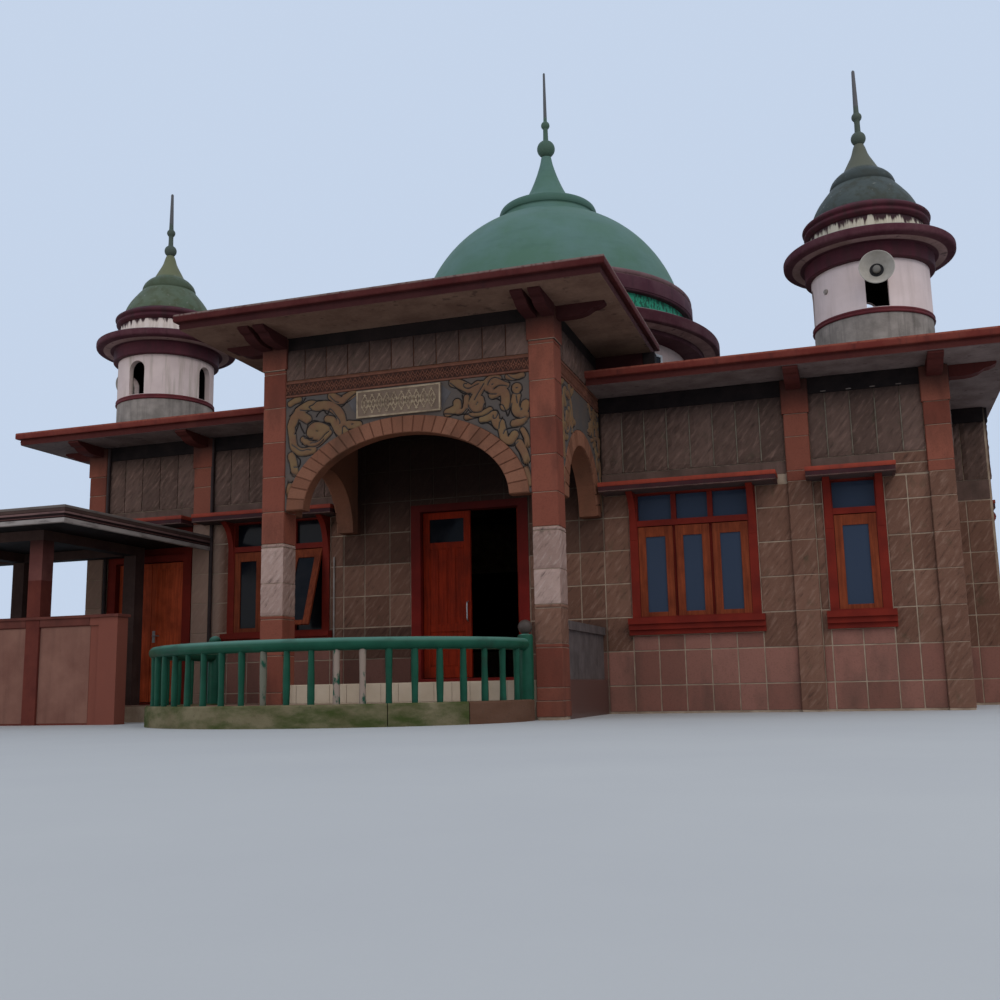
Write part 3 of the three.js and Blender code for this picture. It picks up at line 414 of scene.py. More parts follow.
# %% The pale floor
BLOCK_FACES = [[0, 1, 3, 2], [4, 6, 7, 5], [0, 4, 5, 1], [2, 3, 7, 6], [0, 2, 6, 4], [1, 5, 7, 3]]


def block_points(x0, x1, y0, y1, z0, z1):
    """The eight corners of a block, x slowest and z fastest."""
    return np.array([(x, y, z) for x in (x0, x1) for y in (y0, y1) for z in (z0, z1)], float)


ground = new_piece("floor", block_points(-FLOOR_HALF, FLOOR_HALF, -FLOOR_HALF, FLOOR_HALF, -0.5, 0),
                   BLOCK_FACES, PALE_FLOOR, "floor_tile")

# %% [markdown]
# Wall coordinates make the masonry easy: a runs along a wall, b runs up it, and depth comes straight out of
# it. A plate is four corners carried out in three rings, the last one drawn in, which leaves a chamfered
# edge that catches the light. One mesh holds all the plates of a finish.

# %% Plates on a wall
def plane(origin, along, up=(0, 0, 1)):
    """A point is origin + a * along + b * up + depth * (along x up)."""
    origin, along, up = (np.array(v, float) for v in (origin, along, up))
    out = np.cross(along, up)

    def place(a, b, depth):
        a, b, depth = (np.asarray(v, float)[..., None] for v in np.broadcast_arrays(a, b, depth))
        return origin + a * along + b * up + depth * out
    return place


def facing(side, at):
    """The upright plane that faces front, rear, left or right, at that y or x."""
    along = {"front": (1, 0, 0), "rear": (-1, 0, 0), "left": (0, -1, 0), "right": (0, 1, 0)}[side]
    return plane((0, at, 0) if along[0] else (at, 0, 0), along)


def rectangles(a0, a1, b0, b1):
    """Corners of rectangles, counter-clockwise, from arrays of their limits."""
    a0, a1, b0, b1 = np.broadcast_arrays(a0, a1, b0, b1)
    return np.stack([np.stack([a0, b0], -1), np.stack([a1, b0], -1),
                     np.stack([a1, b1], -1), np.stack([a0, b1], -1)], -2).reshape(-1, 4, 2).astype(float)


PLATE_FACES = capped_faces(3, 4)
chance = np.random.default_rng(11)


def add_plates(heap, place, quads, lift, edge, base=-0.004):
    """Each corner of the last ring moves by edge along both sides that meet there."""
    towards_next, towards_last = np.roll(quads, -1, 1) - quads, np.roll(quads, 1, 1) - quads
    towards_next /= np.linalg.norm(towards_next, axis=-1, keepdims=True)
    towards_last /= np.linalg.norm(towards_last, axis=-1, keepdims=True)
    rings = np.stack([quads, quads, quads + edge * (towards_next + towards_last)], 1)
    depths = np.array([base, lift - edge, lift])[None, :, None]
    for points, tone in zip(place(rings[..., 0], rings[..., 1], depths), chance.random(len(quads))):
        heap.add(points, PLATE_FACES, tone)


def even_cuts(low, high, pitch):
    """Equal steps near pitch long from low to high."""
    return np.linspace(low, high, max(1, round((high - low) / pitch)) + 1)


def brick_grid(a0, a1, b0, b1, pitch, courses, joint):
    """Rectangles in whole columns near pitch wide, cut at the heights in courses, less the joint."""
    cuts = even_cuts(a0, a1, pitch)
    heights = np.array([b0, *[h for h in courses if b0 + THINNEST < h < b1 - THINNEST], b1])
    left, low = np.meshgrid(cuts[:-1], heights[:-1])
    right, high = np.meshgrid(cuts[1:], heights[1:])
    return rectangles(left + joint / 2, right - joint / 2, low + joint / 2, high - joint / 2)


FRONT = facing("front", -4.27)
COURSE, THINNEST = 0.4, 0.03
COURSES = 1.122 + COURSE * np.arange(-3, 9)
print("courses at", np.round(COURSES, 3))

# %% [markdown]
# Rough plates need more than a chamfer. Their face is a small grid whose depth swells and dips, and falls
# away at the rim. The outermost line of the grid stays at the wall and closes the plate's sides.

# %% Rough plates
def add_rough_plates(heap, place, quads, lift, relief, cell=0.045):
    """depth = lift - relief * (0.5 + 0.5 sin(slanting waves with a random start)) and less near the rim."""
    for quad in quads:
        (a0, b0), (a1, b1) = quad[0], quad[2]
        columns, rows = max(3, int((a1 - a0) / cell)), max(3, int((b1 - b0) / cell))
        u = np.concatenate([[0], np.linspace(0, 1, columns + 1), [1]])
        v = np.concatenate([[0], np.linspace(0, 1, rows + 1), [1]])
        v, u = np.meshgrid(v, u, indexing="ij")
        a, b = a0 + u * (a1 - a0), b0 + v * (b1 - b0)
        start = chance.random(3) * 2 * math.pi
        waves = np.sin((a - 0.8 * b) * 55 + start[0] + 1.5 * np.sin(b * 23 + start[1]))
        waves += 0.6 * np.sin((a * 1.2 + b) * 37 + start[2])
        rim = np.minimum(np.minimum(u, 1 - u) * columns, np.minimum(v, 1 - v) * rows)
        depth = lift - relief * (0.5 + 0.3 * waves) - 0.35 * lift * np.clip(1 - rim, 0, 1)
        depth[[0, -1], :] = depth[:, [0, -1]] = -0.004
        heap.add(place(a, b, depth), grid_faces(*u.shape) + [rim_of(*u.shape)], chance.random())


print("rough plates: slanting waves on a grid of 45 mm")

# %% [markdown]
# The front wall. Tiles fill what lies between the doors, windows and corner strips up to the ledge over
# the windows. Tall rough plates stand on the ledge. Under the sills and near the ground the tiles are a
# redder stone.

# %% Skin of the hall's front
TILE_PITCH, JOINT = 0.29, 0.014
PLATE_PITCH, PLATE_JOINT = 0.28, 0.013
FOOT, RED_TOP, SILL_FOOT, WINDOW_TOP, LEDGE_TOP, PORCH_TOP = 0.02, 0.722, 0.902, 2.59, 2.86, 3.80
PLATES_TOP = 3.62
tiles, red_tiles, rough = Heap(), Heap(), Heap()


def clad(place, a0, a1, b0, b1, heap=tiles):
    add_plates(heap, place, brick_grid(a0, a1, b0, b1, TILE_PITCH, COURSES, JOINT), 0.007, 0.003)


def clad_strip(place, a0, a1, top=WINDOW_TOP):
    """Tiles up to that height, over the red ones at the foot."""
    clad(place, a0, a1, RED_TOP, top)
    clad(place, a0, a1, FOOT, RED_TOP, red_tiles)


def tall_plates(place, cuts):
    left, right = np.asarray(cuts[:-1]) + PLATE_JOINT / 2, np.asarray(cuts[1:]) - PLATE_JOINT / 2
    add_rough_plates(rough, place, rectangles(left, right, LEDGE_TOP, PLATES_TOP), 0.034, 0.014)


for a0, a1 in ((-3.72, -3.445), (-1.925, -1.73), (1.73, 2.045), (3.545, 3.92), (4.19, 4.285), (4.955, 5.44)):
    clad_strip(FRONT, a0, a1)
for a0, a1 in ((-1.73, -1.43), (-1.43, -1.08), (-1.08, -0.79), (0.79, 1.08), (1.08, 1.43), (1.43, 1.73)):
    clad_strip(FRONT, a0, a1, PORCH_TOP)
clad(FRONT, 5.085, 5.44, 2.60, 2.85)
for a0, a1 in ((-3.445, -1.925), (2.045, 3.545), (4.285, 4.955)):
    clad(FRONT, a0, a1, FOOT, SILL_FOOT, red_tiles)
clad(FRONT, -0.79, 0.79, 2.60, PORCH_TOP)
FRONT_BAYS = ((-5.43, -3.99), (-3.71, -1.73), (1.73, 3.91), (4.19, 5.43))
LAST_BAY_CUTS = (4.386, 4.656, 4.926, 5.196)
for bay in FRONT_BAYS[:-1]:
    tall_plates(FRONT, even_cuts(*bay, PLATE_PITCH))
tall_plates(FRONT, (FRONT_BAYS[-1][0], *LAST_BAY_CUTS, FRONT_BAYS[-1][1]))
print("faces on the front:", len(tiles.faces), len(red_tiles.faces), len(rough.faces))

# %% [markdown]
# The side and rear walls aren't in the photograph. They carry on the front's order: tiles below, the ledge,
# and the tall plates above.

# %% Skins of the sides and the rear
LEFT_FRONT = facing("left", -5.7)
RIGHT_FRONT = facing("right", 5.7)
LEFT = facing("left", -6.32)
RIGHT = facing("right", 6.32)
STEP = facing("front", -1.97)
REAR = facing("rear", 4.27)
SIDE_WINDOWS = ((-1.02, 0.48), (1.58, 3.08))
REAR_WINDOWS = ((-4.15, -2.65), (2.65, 4.15))


def wall_with_windows(place, a0, a1, windows):
    """Tiles in the strips between windows, red tiles under them, tall plates all along the top."""
    edges = [a0, *[edge for window in windows for edge in window], a1]
    for left, right in zip(edges[::2], edges[1::2]):
        clad_strip(place, left, right)
    for left, right in windows:
        clad_strip(place, left, right, SILL_FOOT)
    tall_plates(place, even_cuts(a0, a1, PLATE_PITCH))


wall_with_windows(LEFT_FRONT, 1.99, 4.25, ())
wall_with_windows(RIGHT_FRONT, -4.25, -1.99, ())
wall_with_windows(LEFT, -4.25, 1.95, [(-rear, -front) for front, rear in reversed(SIDE_WINDOWS)])
wall_with_windows(RIGHT, -1.95, 4.25, SIDE_WINDOWS)
for a0 in (-6.3, 5.71):
    wall_with_windows(STEP, a0, a0 + 0.59, ())
wall_with_windows(REAR, -6.3, 6.3, REAR_WINDOWS)
tiles.make("wall_tiles", TILE_STONE, "wall_stone")
red_tiles.make("red_wall_tiles", LOW_TILE, "red_stone")
rough.make("rough_wall_plates", ROUGH_STONE, "wall_stone")

# %% [markdown]
# Corner strips and portico columns are stacks of squared blocks, one for each course. Each block is the
# chamfered plate again, on every face that shows. Below the hoods the strips are as rough as the wall. Two
# courses of the columns are pale rough stone, and the right column has a rough brown one below them.

# %% Strips and columns
strip_blocks, pale_blocks, brown_blocks = Heap(), Heap(), Heap()
PILASTERS, PILASTER_HALF = (-5.57, -3.85, 4.05, 5.57), 0.13
COLUMNS, COLUMN_FRONT, COLUMN_REAR = ((-1.72, -1.454), (1.454, 1.72)), -6.35, -6.084
PALE_LOW, PALE_HIGH = 1.162, 1.962
WHOLE_WIDTH = 9


def stack(x0, x1, y0, y1, z0, z1, faces="fblr", heap=strip_blocks, cuts=COURSES, lift=0.009):
    """Plates on the named faces (front, back, left, right) of a pillar, cut at the courses."""
    sides = {"f": (facing("front", y0), x0, x1), "b": (facing("rear", y1), -x1, -x0),
             "l": (facing("left", x0), -y1, -y0), "r": (facing("right", x1), y0, y1)}
    for face in faces:
        place, a0, a1 = sides[face]
        blocks = brick_grid(a0 - lift, a1 + lift, z0, z1, WHOLE_WIDTH, cuts, 0.007)
        add_plates(heap, place, blocks, lift, 0.005)


for centre in PILASTERS:
    pilaster = (centre - PILASTER_HALF, centre + PILASTER_HALF, -4.32, -4.27)
    stack(*pilaster, FOOT, 2.60, "flr", brown_blocks, lift=0.006)
    stack(*pilaster, 2.60, 3.39, "flr")
    stack(*pilaster, 3.39, 3.80, "flr", cuts=[], lift=0.023)
for x0, x1 in COLUMNS:
    column = (x0, x1, COLUMN_FRONT, COLUMN_REAR)
    plain_top = PALE_LOW - COURSE if x0 > 0 else PALE_LOW
    stack(*column, 0.19, plain_top)
    stack(*column, 0.03, 0.19, lift=0.014)
    stack(*column, PALE_HIGH, 3.962)
    stack(*column, 3.964, 4.337, cuts=[], lift=0.024)
    for place, a0 in ((facing("front", COLUMN_FRONT), x0), (facing("right", x1), COLUMN_FRONT),
                      (facing("rear", COLUMN_REAR), -x1), (facing("left", x0), -COLUMN_REAR)):
        for heap, low, high in ((pale_blocks, PALE_LOW, PALE_HIGH), (brown_blocks, plain_top, PALE_LOW)):
            if high > low:
                blocks = brick_grid(a0 - 0.008, a0 + 0.274, low, high, WHOLE_WIDTH, COURSES, 0.009)
                add_rough_plates(heap, place, blocks, 0.016, 0.006, 0.03)
strip_blocks.make("strip_blocks", RED_TILE, "red_stone")
brown_blocks.make("brown_blocks", TILE_STONE, "wall_stone")
pale_blocks.make("pale_column_blocks", PALE_ROUGH, "wall_stone")

# %% [markdown]
# Round parts are turned like a pot on a wheel: a profile of radius and height goes round the vertical axis.
# The arrays hold every profile point at every angle, and the poles close by themselves when the doubles
# are merged.

# %% Turned pieces
def turned_points(profile, centre, steps):
    """(cx + r cos t, cy + r sin t, z) for each profile point (r, z) and each angle t."""
    angle = np.arange(steps) / steps * 2 * math.pi
    radius, height = np.asarray(profile, float).T[:, :, None]
    return np.stack([centre[0] + radius * np.cos(angle), centre[1] + radius * np.sin(angle),
                     height + 0 * angle], -1)


def turned(name, profile, centre, finish, slot, steps=128, smooth=32, **more):
    closed = min(profile[0][0], profile[-1][0]) > 1e-6
    faces = grid_faces(len(profile), steps, ring_rows=closed, ring_columns=True)
    return new_piece(name, turned_points(profile, centre, steps), faces, finish, slot, smooth=smooth, **more)


def arc(centre, radius, first, last, count):
    """Profile points on a circle about (radius, height) centre, angles in degrees from the outward line."""
    t = np.radians(np.linspace(first, last, count))
    return np.stack([centre[0] + radius * np.cos(t), centre[1] + radius * np.sin(t)], -1).tolist()


def flowing(points, count=60):
    """A smooth curve through a few profile points (Catmull-Rom)."""
    p = np.asarray(points, float)
    p = np.vstack([2 * p[0] - p[1], p, 2 * p[-1] - p[-2]])
    t = np.linspace(0, len(points) - 1 - 1e-9, count)
    i, f = t.astype(int), (t % 1)[:, None]
    a, b, c, d = p[i], p[i + 1], p[i + 2], p[i + 3]
    return (0.5 * (2 * b + (c - a) * f + (2 * a - 5 * b + 4 * c - d) * f ** 2
                   + (3 * b - a - 3 * c + d) * f ** 3)).tolist()


print("a ball profile:", np.round(arc((0, 9.52), 0.14, -60, 60, 3), 3).tolist())

# %% [markdown]
# The dome's paint is a green laid on in level strokes, with painted shade on the collar. The band under it
# has bright and dark flames, and the two small domes are mossy, with pale patches where paint has let go.
# The rods at the top are bare and grey.

# %% Dome finishes
def make_dome_paint(name, green, worn, streak, moss=None, amount=0.35, collar=None, cone=None, rod=None):
    """collar holds two heights between which the paint is darker, as painted shade; cone and rod each hold
    the height from which up their colour begins, and that colour."""
    f = Finish(name, roughness=0.55)
    runs = f.noise(5, stretch=(0.45, 0.45, 1.8), detail=6)
    cloud = f.noise(1.6, detail=5)
    grain = f.noise(45, detail=3)
    colour = f.mix(f.steps(cloud, 0.35, 0.68), green, worn)
    colour = f.mix(f.steps(runs, 0.5, 0.7, 0, amount), colour, streak)
    if moss:
        colour = f.mix(f.steps(f.noise(8, detail=7), 0.47, 0.62, 0, 0.85), colour, moss)
        colour = f.mix(f.steps(f.noise(14, detail=6), 0.64, 0.7, 0, 0.7), colour, (0.26, 0.25, 0.21))
    # Painted shade between the collar's two heights.
    if collar:
        inside = f.times(f.steps(f.z, collar[0] - 0.01, collar[0]), f.steps(f.z, *collar, 1, 0.4))
        inside = f.times(inside, f.steps(f.z, collar[1], collar[1] + 0.02, 1, 0))
        colour = f.mix(f.times(inside, 0.7), colour, streak)
    for height, upper in filter(None, (cone, rod)):
        colour = f.mix(f.steps(f.z, height - 0.02, height + 0.02, 0, 0.85), colour, upper)
    return f.done(colour, f.plus(grain, f.times(cloud, 2)), 0.0015)


def make_flame_band():
    """Flames: tall, thin noise on coordinates that run round the band instead of along X and Y."""
    f = Finish("flame_band", roughness=0.6)
    around = f.times(f.math("ARCTAN2", f.y, f.x), 2.25)
    place = f.node("ShaderNodeCombineXYZ", {0: around, 1: f.z}).outputs[0]
    flames = f.noise(9, stretch=(1.5, 0.55, 1), detail=3, where=place)
    fine = f.noise(26, stretch=(1.2, 0.5, 1), detail=3, where=place)
    colour = f.mix(f.steps(flames, 0.46, 0.5), (0.018, 0.10, 0.06), (0.032, 0.28, 0.165))
    colour = f.mix(f.steps(fine, 0.55, 0.62, 0, 0.75), colour, (0.012, 0.04, 0.028))
    return f.done(colour, flames, 0.006)


BELL_COLLAR_SHADE, BELL_CONE = (6.31, 6.47), 6.53
GREY_ROD = (0.12, 0.11, 0.115)
DOME_PAINT = make_dome_paint("dome_paint", (0.090, 0.172, 0.118), (0.112, 0.195, 0.165),
                             (0.05, 0.105, 0.075), amount=0.2, collar=(8.19, 8.50))
FLAME_BAND = make_flame_band()
BELL_LEFT = make_dome_paint("mossy_bell_left", (0.095, 0.125, 0.075), (0.12, 0.14, 0.09),
                            (0.055, 0.07, 0.04), (0.08, 0.09, 0.045), collar=BELL_COLLAR_SHADE,
                            cone=(BELL_CONE, (0.17, 0.17, 0.09)))
BELL_RIGHT = make_dome_paint("mossy_bell_right", (0.06, 0.072, 0.066), (0.075, 0.088, 0.08),
                             (0.032, 0.038, 0.035), (0.048, 0.051, 0.038), collar=BELL_COLLAR_SHADE,
                             cone=(BELL_CONE, (0.12, 0.12, 0.085)))
DOME_FINIAL = make_dome_paint("dome_finial_paint", (0.07, 0.12, 0.085), (0.09, 0.14, 0.10),
                              (0.05, 0.08, 0.055), rod=(10.10, GREY_ROD))
TURRET_FINIAL = make_dome_paint("turret_finial_paint", (0.072, 0.088, 0.068), (0.09, 0.108, 0.084),
                                (0.05, 0.062, 0.048), rod=(7.42, GREY_ROD))
print("dome finishes:", DOME_PAINT.name, FLAME_BAND.name, BELL_LEFT.name, BELL_RIGHT.name)

# %% [markdown]
# One finish serves every overhanging slab. It looks at which way a face points: painted edges are maroon,
# undersides are pale, stained plaster, and tops are bare concrete. The upper lip of a cornice is worn, and
# on the hall it is also a painted highlight.

# %% Slab finish
TURRET = (5.0, -3.61)
DUSTY_TOP = (0.16, 0.15, 0.135)


def make_slab_finish(name, edge, edge_worn, under, under_stain, soffit=None, lip=None, pale=None):
    """soffit is the only height at which faces that look down are plaster; the cornice above it has a dark
    lower band and a lip that takes the colour lip in patches: pale wear on the portico, a painted highlight
    on the hall. pale holds a centre and two radii between which an underside is plaster."""
    f = Finish(name, roughness=0.8)
    cloud = f.noise(2.6, detail=6)
    fine = f.noise(24, detail=5)
    worn = f.plus(cloud, f.times(fine, 0.35))
    side = f.mix(f.steps(worn, 0.58, 0.86, 0, 0.8), edge, edge_worn)
    runs = f.noise(13, stretch=(1, 1, 0.1), detail=5)
    side = f.mix(f.steps(runs, 0.56, 0.74, 0, 0.5), side, (0.035, 0.014, 0.014))
    spots = f.node("ShaderNodeTexVoronoi", {"Vector": f.here, "Scale": 0.9}).outputs["Distance"]
    below = f.mix(f.steps(worn, 0.52, 0.8, 0, 0.85), under, under_stain)
    below = f.mix(f.steps(spots, 0.045, 0.06, 0.9, 0), below, (0.025, 0.018, 0.015))
    below = f.mix(f.steps(f.noise(7, detail=9), 0.62, 0.66, 0, 0.55), below, (0.05, 0.03, 0.026))
    share = f.steps(f.normal(2), -0.85, -0.6, 1, 0)
    if soffit:
        share = f.times(share, f.steps(f.z, soffit - 0.006, soffit - 0.003))
        share = f.times(share, f.steps(f.z, soffit + 0.003, soffit + 0.006, 1, 0))
        side = f.mix(f.steps(f.z, soffit + 0.078, soffit + 0.084, 0.55, 0), side, (0.03, 0.012, 0.012))
        # The lip: pale wear in patches on the portico, a painted highlight on the hall.
        worn_and_lit_lip = f.times(f.steps(f.z, soffit + 0.142, soffit + 0.156), f.steps(fine, 0.36, 0.5, 0.25, 1))
        side = f.mix(worn_and_lit_lip, side, lip)
    if pale:
        centre, inner, outer = pale
        reach = f.reach(*centre)
        share = f.times(share, f.steps(reach, inner - 0.006, inner + 0.006))
        share = f.times(share, f.steps(reach, outer - 0.006, outer + 0.006, 1, 0))
    colour = f.mix(share, side, below)
    colour = f.mix(f.steps(f.normal(2), 0.6, 0.85), colour, DUSTY_TOP)
    return f.done(colour, worn, 0.002)


# The hall's orange lip colour is a painted highlight on the top of the roll.
HALL_SLAB = make_slab_finish("hall_slab", (0.145, 0.024, 0.017), (0.20, 0.048, 0.032), (0.24, 0.18, 0.165),
                             (0.14, 0.095, 0.085), soffit=3.81, lip=(0.26, 0.07, 0.045))
PORTICO_SLAB = make_slab_finish("portico_slab", (0.070, 0.012, 0.011), (0.105, 0.026, 0.022),
                                (0.25, 0.15, 0.105), (0.155, 0.085, 0.06), soffit=4.34,
                                lip=(0.20, 0.13, 0.11))
CANOPY = make_slab_finish("canopy_paint", (0.075, 0.02, 0.028), (0.12, 0.05, 0.055), (0.40, 0.245, 0.23),
                          (0.24, 0.145, 0.12), pale=(TURRET, 0.805, 0.90))
DOME_CANOPY = make_slab_finish("dome_canopy_paint", (0.062, 0.016, 0.022), (0.10, 0.042, 0.045),
                               (0.34, 0.205, 0.19), (0.20, 0.11, 0.10), pale=((0.0, 0.0), 2.515, 2.69))
print("slab finishes:", HALL_SLAB.name, PORTICO_SLAB.name, CANOPY.name, DOME_CANOPY.name)

# %% [markdown]
# Three more finishes carry rain marks on round parts: the ring under the great shell, the small drums over
# the turrets' canopies, whose dark tops run down in drips, and the turrets' plaster, which has painted shade
# where a window lets one look inside.

# %% Finishes of rings and turret walls
def make_ring_paint():
    """Dark maroon below, pinkish from the height of the roll up, each streaked by rain."""
    f = Finish("ring_paint", roughness=0.7)
    cloud = f.noise(3, detail=6)
    runs = f.noise(12, stretch=(1, 1, 0.12), detail=5)
    dark = f.mix(f.steps(cloud, 0.35, 0.7), (0.062, 0.016, 0.025), (0.10, 0.04, 0.048))
    roll = f.mix(f.steps(cloud, 0.35, 0.7), (0.20, 0.11, 0.11), (0.13, 0.065, 0.065))
    colour = f.mix(f.steps(f.z, 6.40, 6.412), dark, roll)
    colour = f.mix(f.steps(runs, 0.55, 0.75, 0, 0.55), colour, (0.035, 0.018, 0.02))
    return f.done(colour, cloud, 0.0015)


def make_dripping_plaster(name, start, cream, dirty):
    """Cream plaster; the height at which the dark starts is broken up by noise that is drawn tall."""
    f = Finish(name, roughness=0.85)
    runs = f.noise(17, stretch=(1, 1, 0.12), detail=4)
    level = f.plus(f.z, f.times(f.math("SUBTRACT", runs, 0.5), 0.42))
    colour = f.mix(f.steps(runs, 0.42, 0.66, 0, 0.6), cream, dirty)
    colour = f.mix(f.steps(level, start, start + 0.04), colour, (0.06, 0.03, 0.033))
    return f.done(colour, f.noise(50), 0.0012)


DRIPS = {"left": make_dripping_plaster("left_drips", 5.66, (0.80, 0.66, 0.58), (0.50, 0.38, 0.30)),
         "right": make_dripping_plaster("right_drips", 5.63, (0.62, 0.54, 0.42), (0.34, 0.28, 0.19))}
RING_PAINT = make_ring_paint()
# Within this radius the turrets' plaster is near black: painted shade inside the tower.
TOWER_INSIDE_SHADE = TURRET, 0.60
TURRET_PLASTER = {
    "left": make_plain("left_turret_plaster", (0.70, 0.55, 0.50), (0.60, 0.46, 0.42), 0.86, 2.4, 0.001,
                       0.55, (0.20, 0.17, 0.09), hollow=TOWER_INSIDE_SHADE),
    "right": make_plain("right_turret_plaster", (0.78, 0.62, 0.58), (0.68, 0.53, 0.49), 0.86, 2.4, 0.001,
                        0.2, (0.30, 0.22, 0.17), hollow=TOWER_INSIDE_SHADE)}
print("rain-marked finishes:", RING_PAINT.name, *[plaster.name for plaster in TURRET_PLASTER.values()])

# %% [markdown]
# The great dome, from the roof up: a pink drum, a wide canopy ring on a dark beam, the flame band, a dark
# fascia with a pinkish roll on it, the shell, and the collar whose hollow curve draws in to the finial.

# %% Great dome
AXIS = (0.0, 0.0)
SHELL_CENTRE, SHELL_RADIUS = 6.03, 2.23
drum = [(2.05, 3.98), (2.2, 3.98), (2.2, 4.6), (2.2, 5.2), (2.2, 5.7), (2.05, 5.7)]
turned("pink_drum", drum, AXIS, PINK_PLASTER, "pink_plaster", stands_for=("dome_drum",))
canopy = [(2.2003, 5.47), (2.49, 5.47), (2.50, 5.48), (2.50, 5.535), (2.715, 5.556),
          *arc((2.735, 5.583), 0.027, -90, 0, 5), (2.762, 5.70), *arc((2.735, 5.715), 0.027, 0, 70, 5),
          (2.70, 5.765), (2.50, 5.808), (2.25, 5.85), (2.05, 5.85), (2.05, 5.7003), (2.2003, 5.7003)]
turned("dome_canopy_ring", canopy, AXIS, DOME_CANOPY, "maroon_paint", stands_for=("dome_canopy",), smooth=40)
band = [(2.05, 5.8503), (2.25, 5.8503), (2.262, 5.862), (2.262, 5.885), (2.245, 5.895), (2.238, 6.03),
        (2.245, 6.1597), (2.05, 6.1597)]
turned("flame_band_ring", band, AXIS, FLAME_BAND, "dome_green", stands_for=("dome_band",))
ring = [(2.06, 6.16), (2.325, 6.16), (2.338, 6.172), (2.338, 6.183), (2.352, 6.19), (2.357, 6.22),
        (2.355, 6.37), (2.347, 6.392), (2.335, 6.398), (2.335, 6.407),
        *arc((2.298, 6.456), 0.048, -55, 75, 9), (2.28, 6.508), (2.24, 6.515), (2.06, 6.515)]
turned("dome_ring", ring, AXIS, RING_PAINT, "maroon_paint", smooth=40)

SHELL_FOOT, SHELL_WALL, COLLAR_RADIUS = 6.5153, 0.09, 0.85
spring = SHELL_FOOT - SHELL_CENTRE
outside = arc((0, SHELL_CENTRE), SHELL_RADIUS, math.degrees(math.asin(spring / SHELL_RADIUS)),
              math.degrees(math.acos(COLLAR_RADIUS / SHELL_RADIUS)), 30)
inside = arc((0, SHELL_CENTRE), SHELL_RADIUS - SHELL_WALL, 90,
             math.degrees(math.asin(spring / (SHELL_RADIUS - SHELL_WALL))), 24)
collar = flowing([(0.838, 8.098), (0.806, 8.16), (0.803, 8.20)], 6)
collar += flowing([(0.822, 8.215), (0.832, 8.25), (0.826, 8.30), (0.79, 8.355), (0.70, 8.395), (0.56, 8.44),
                   (0.45, 8.50), (0.365, 8.60), (0.30, 8.71), (0.238, 8.85), (0.188, 8.98), (0.145, 9.11),
                   (0.108, 9.24), (0.085, 9.36)], 52)
turned("dome_shell_green", outside + collar + [(0.0, 9.36), (0.0, 8.2)] + inside, AXIS, DOME_PAINT,
       "dome_green", stands_for=("dome_shell",), smooth=28)
finial = [(0.0, 9.33), (0.083, 9.33), (0.066, 9.36), (0.055, 9.38), *arc((0, 9.52), 0.155, -66, 69, 14),
          (0.045, 9.69), (0.042, 9.80), (0.04, 9.89), *arc((0, 9.96), 0.075, -55, 60, 10), (0.031, 10.05),
          (0.027, 10.4), (0.019, 10.94), (0.012, 10.955), (0.0, 10.96)]
turned("dome_finial", finial, AXIS, DOME_FINIAL, "dome_green", steps=32, smooth=40)

# %% [markdown]
# The two turrets are the same, apart from their weather. Each has a grey concrete foot, a maroon bead, a
# pink wall with four arched windows, a maroon beam under the canopy, a small drum with dark drips, a
# stepped ring, a bell and its finial. The windows are cut by two arched bars pushed through the wall.

# %% Arched windows cut through a round wall
WINDOW_HALF, WINDOW_LOW, WINDOW_HIGH, BAR_REACH = 0.1275, 4.5705, 5.07, 1.0
WINDOW_TURN = {"left": -1.8, "right": 4.6}


def turn_about(x, y, degrees):
    """Turns points about the upright line through (x, y)."""
    c, s = math.cos(math.radians(degrees)), math.sin(math.radians(degrees))
    return lambda p: np.stack([x + c * (p[..., 0] - x) - s * (p[..., 1] - y),
                               y + s * (p[..., 0] - x) + c * (p[..., 1] - y), p[..., 2]], -1)


def arched_bar(centre, across, degrees):
    """A bar with an arched section, along Y or, where across is true, along X, turned about centre."""
    t = np.linspace(0, math.pi, 13)
    spring = WINDOW_HIGH - WINDOW_HALF
    section = [(WINDOW_HALF, WINDOW_LOW), *zip(WINDOW_HALF * np.cos(t), spring + WINDOW_HALF * np.sin(t)),
               (-WINDOW_HALF, WINDOW_LOW)]
    ends = (-BAR_REACH, BAR_REACH)
    points = np.array([[(end, a, b) if across else (a, end, b) for a, b in section] for end in ends])
    points = turn_about(0, 0, degrees)(points) + (*centre, 0)
    bar = bpy.data.objects.new("bar", closed_mesh("bar", points, capped_faces(2, len(section))))
    bpy.context.scene.collection.objects.link(bar)
    return bar


def carve(piece, cutters):
    """Cuts the cutters out of the piece for good and deletes them."""
    for cutter in cutters:
        step = piece.modifiers.new("cut", "BOOLEAN")
        step.operation, step.solver, step.object = "DIFFERENCE", "EXACT", cutter
    bpy.context.view_layer.update()
    carved = bpy.data.meshes.new_from_object(piece.evaluated_get(bpy.context.evaluated_depsgraph_get()))
    piece.modifiers.clear()
    piece.data = carved
    for cutter in cutters:
        bpy.data.objects.remove(cutter)


print("turret windows:", 2 * WINDOW_HALF, "m wide,", WINDOW_HIGH - WINDOW_LOW, "m high")

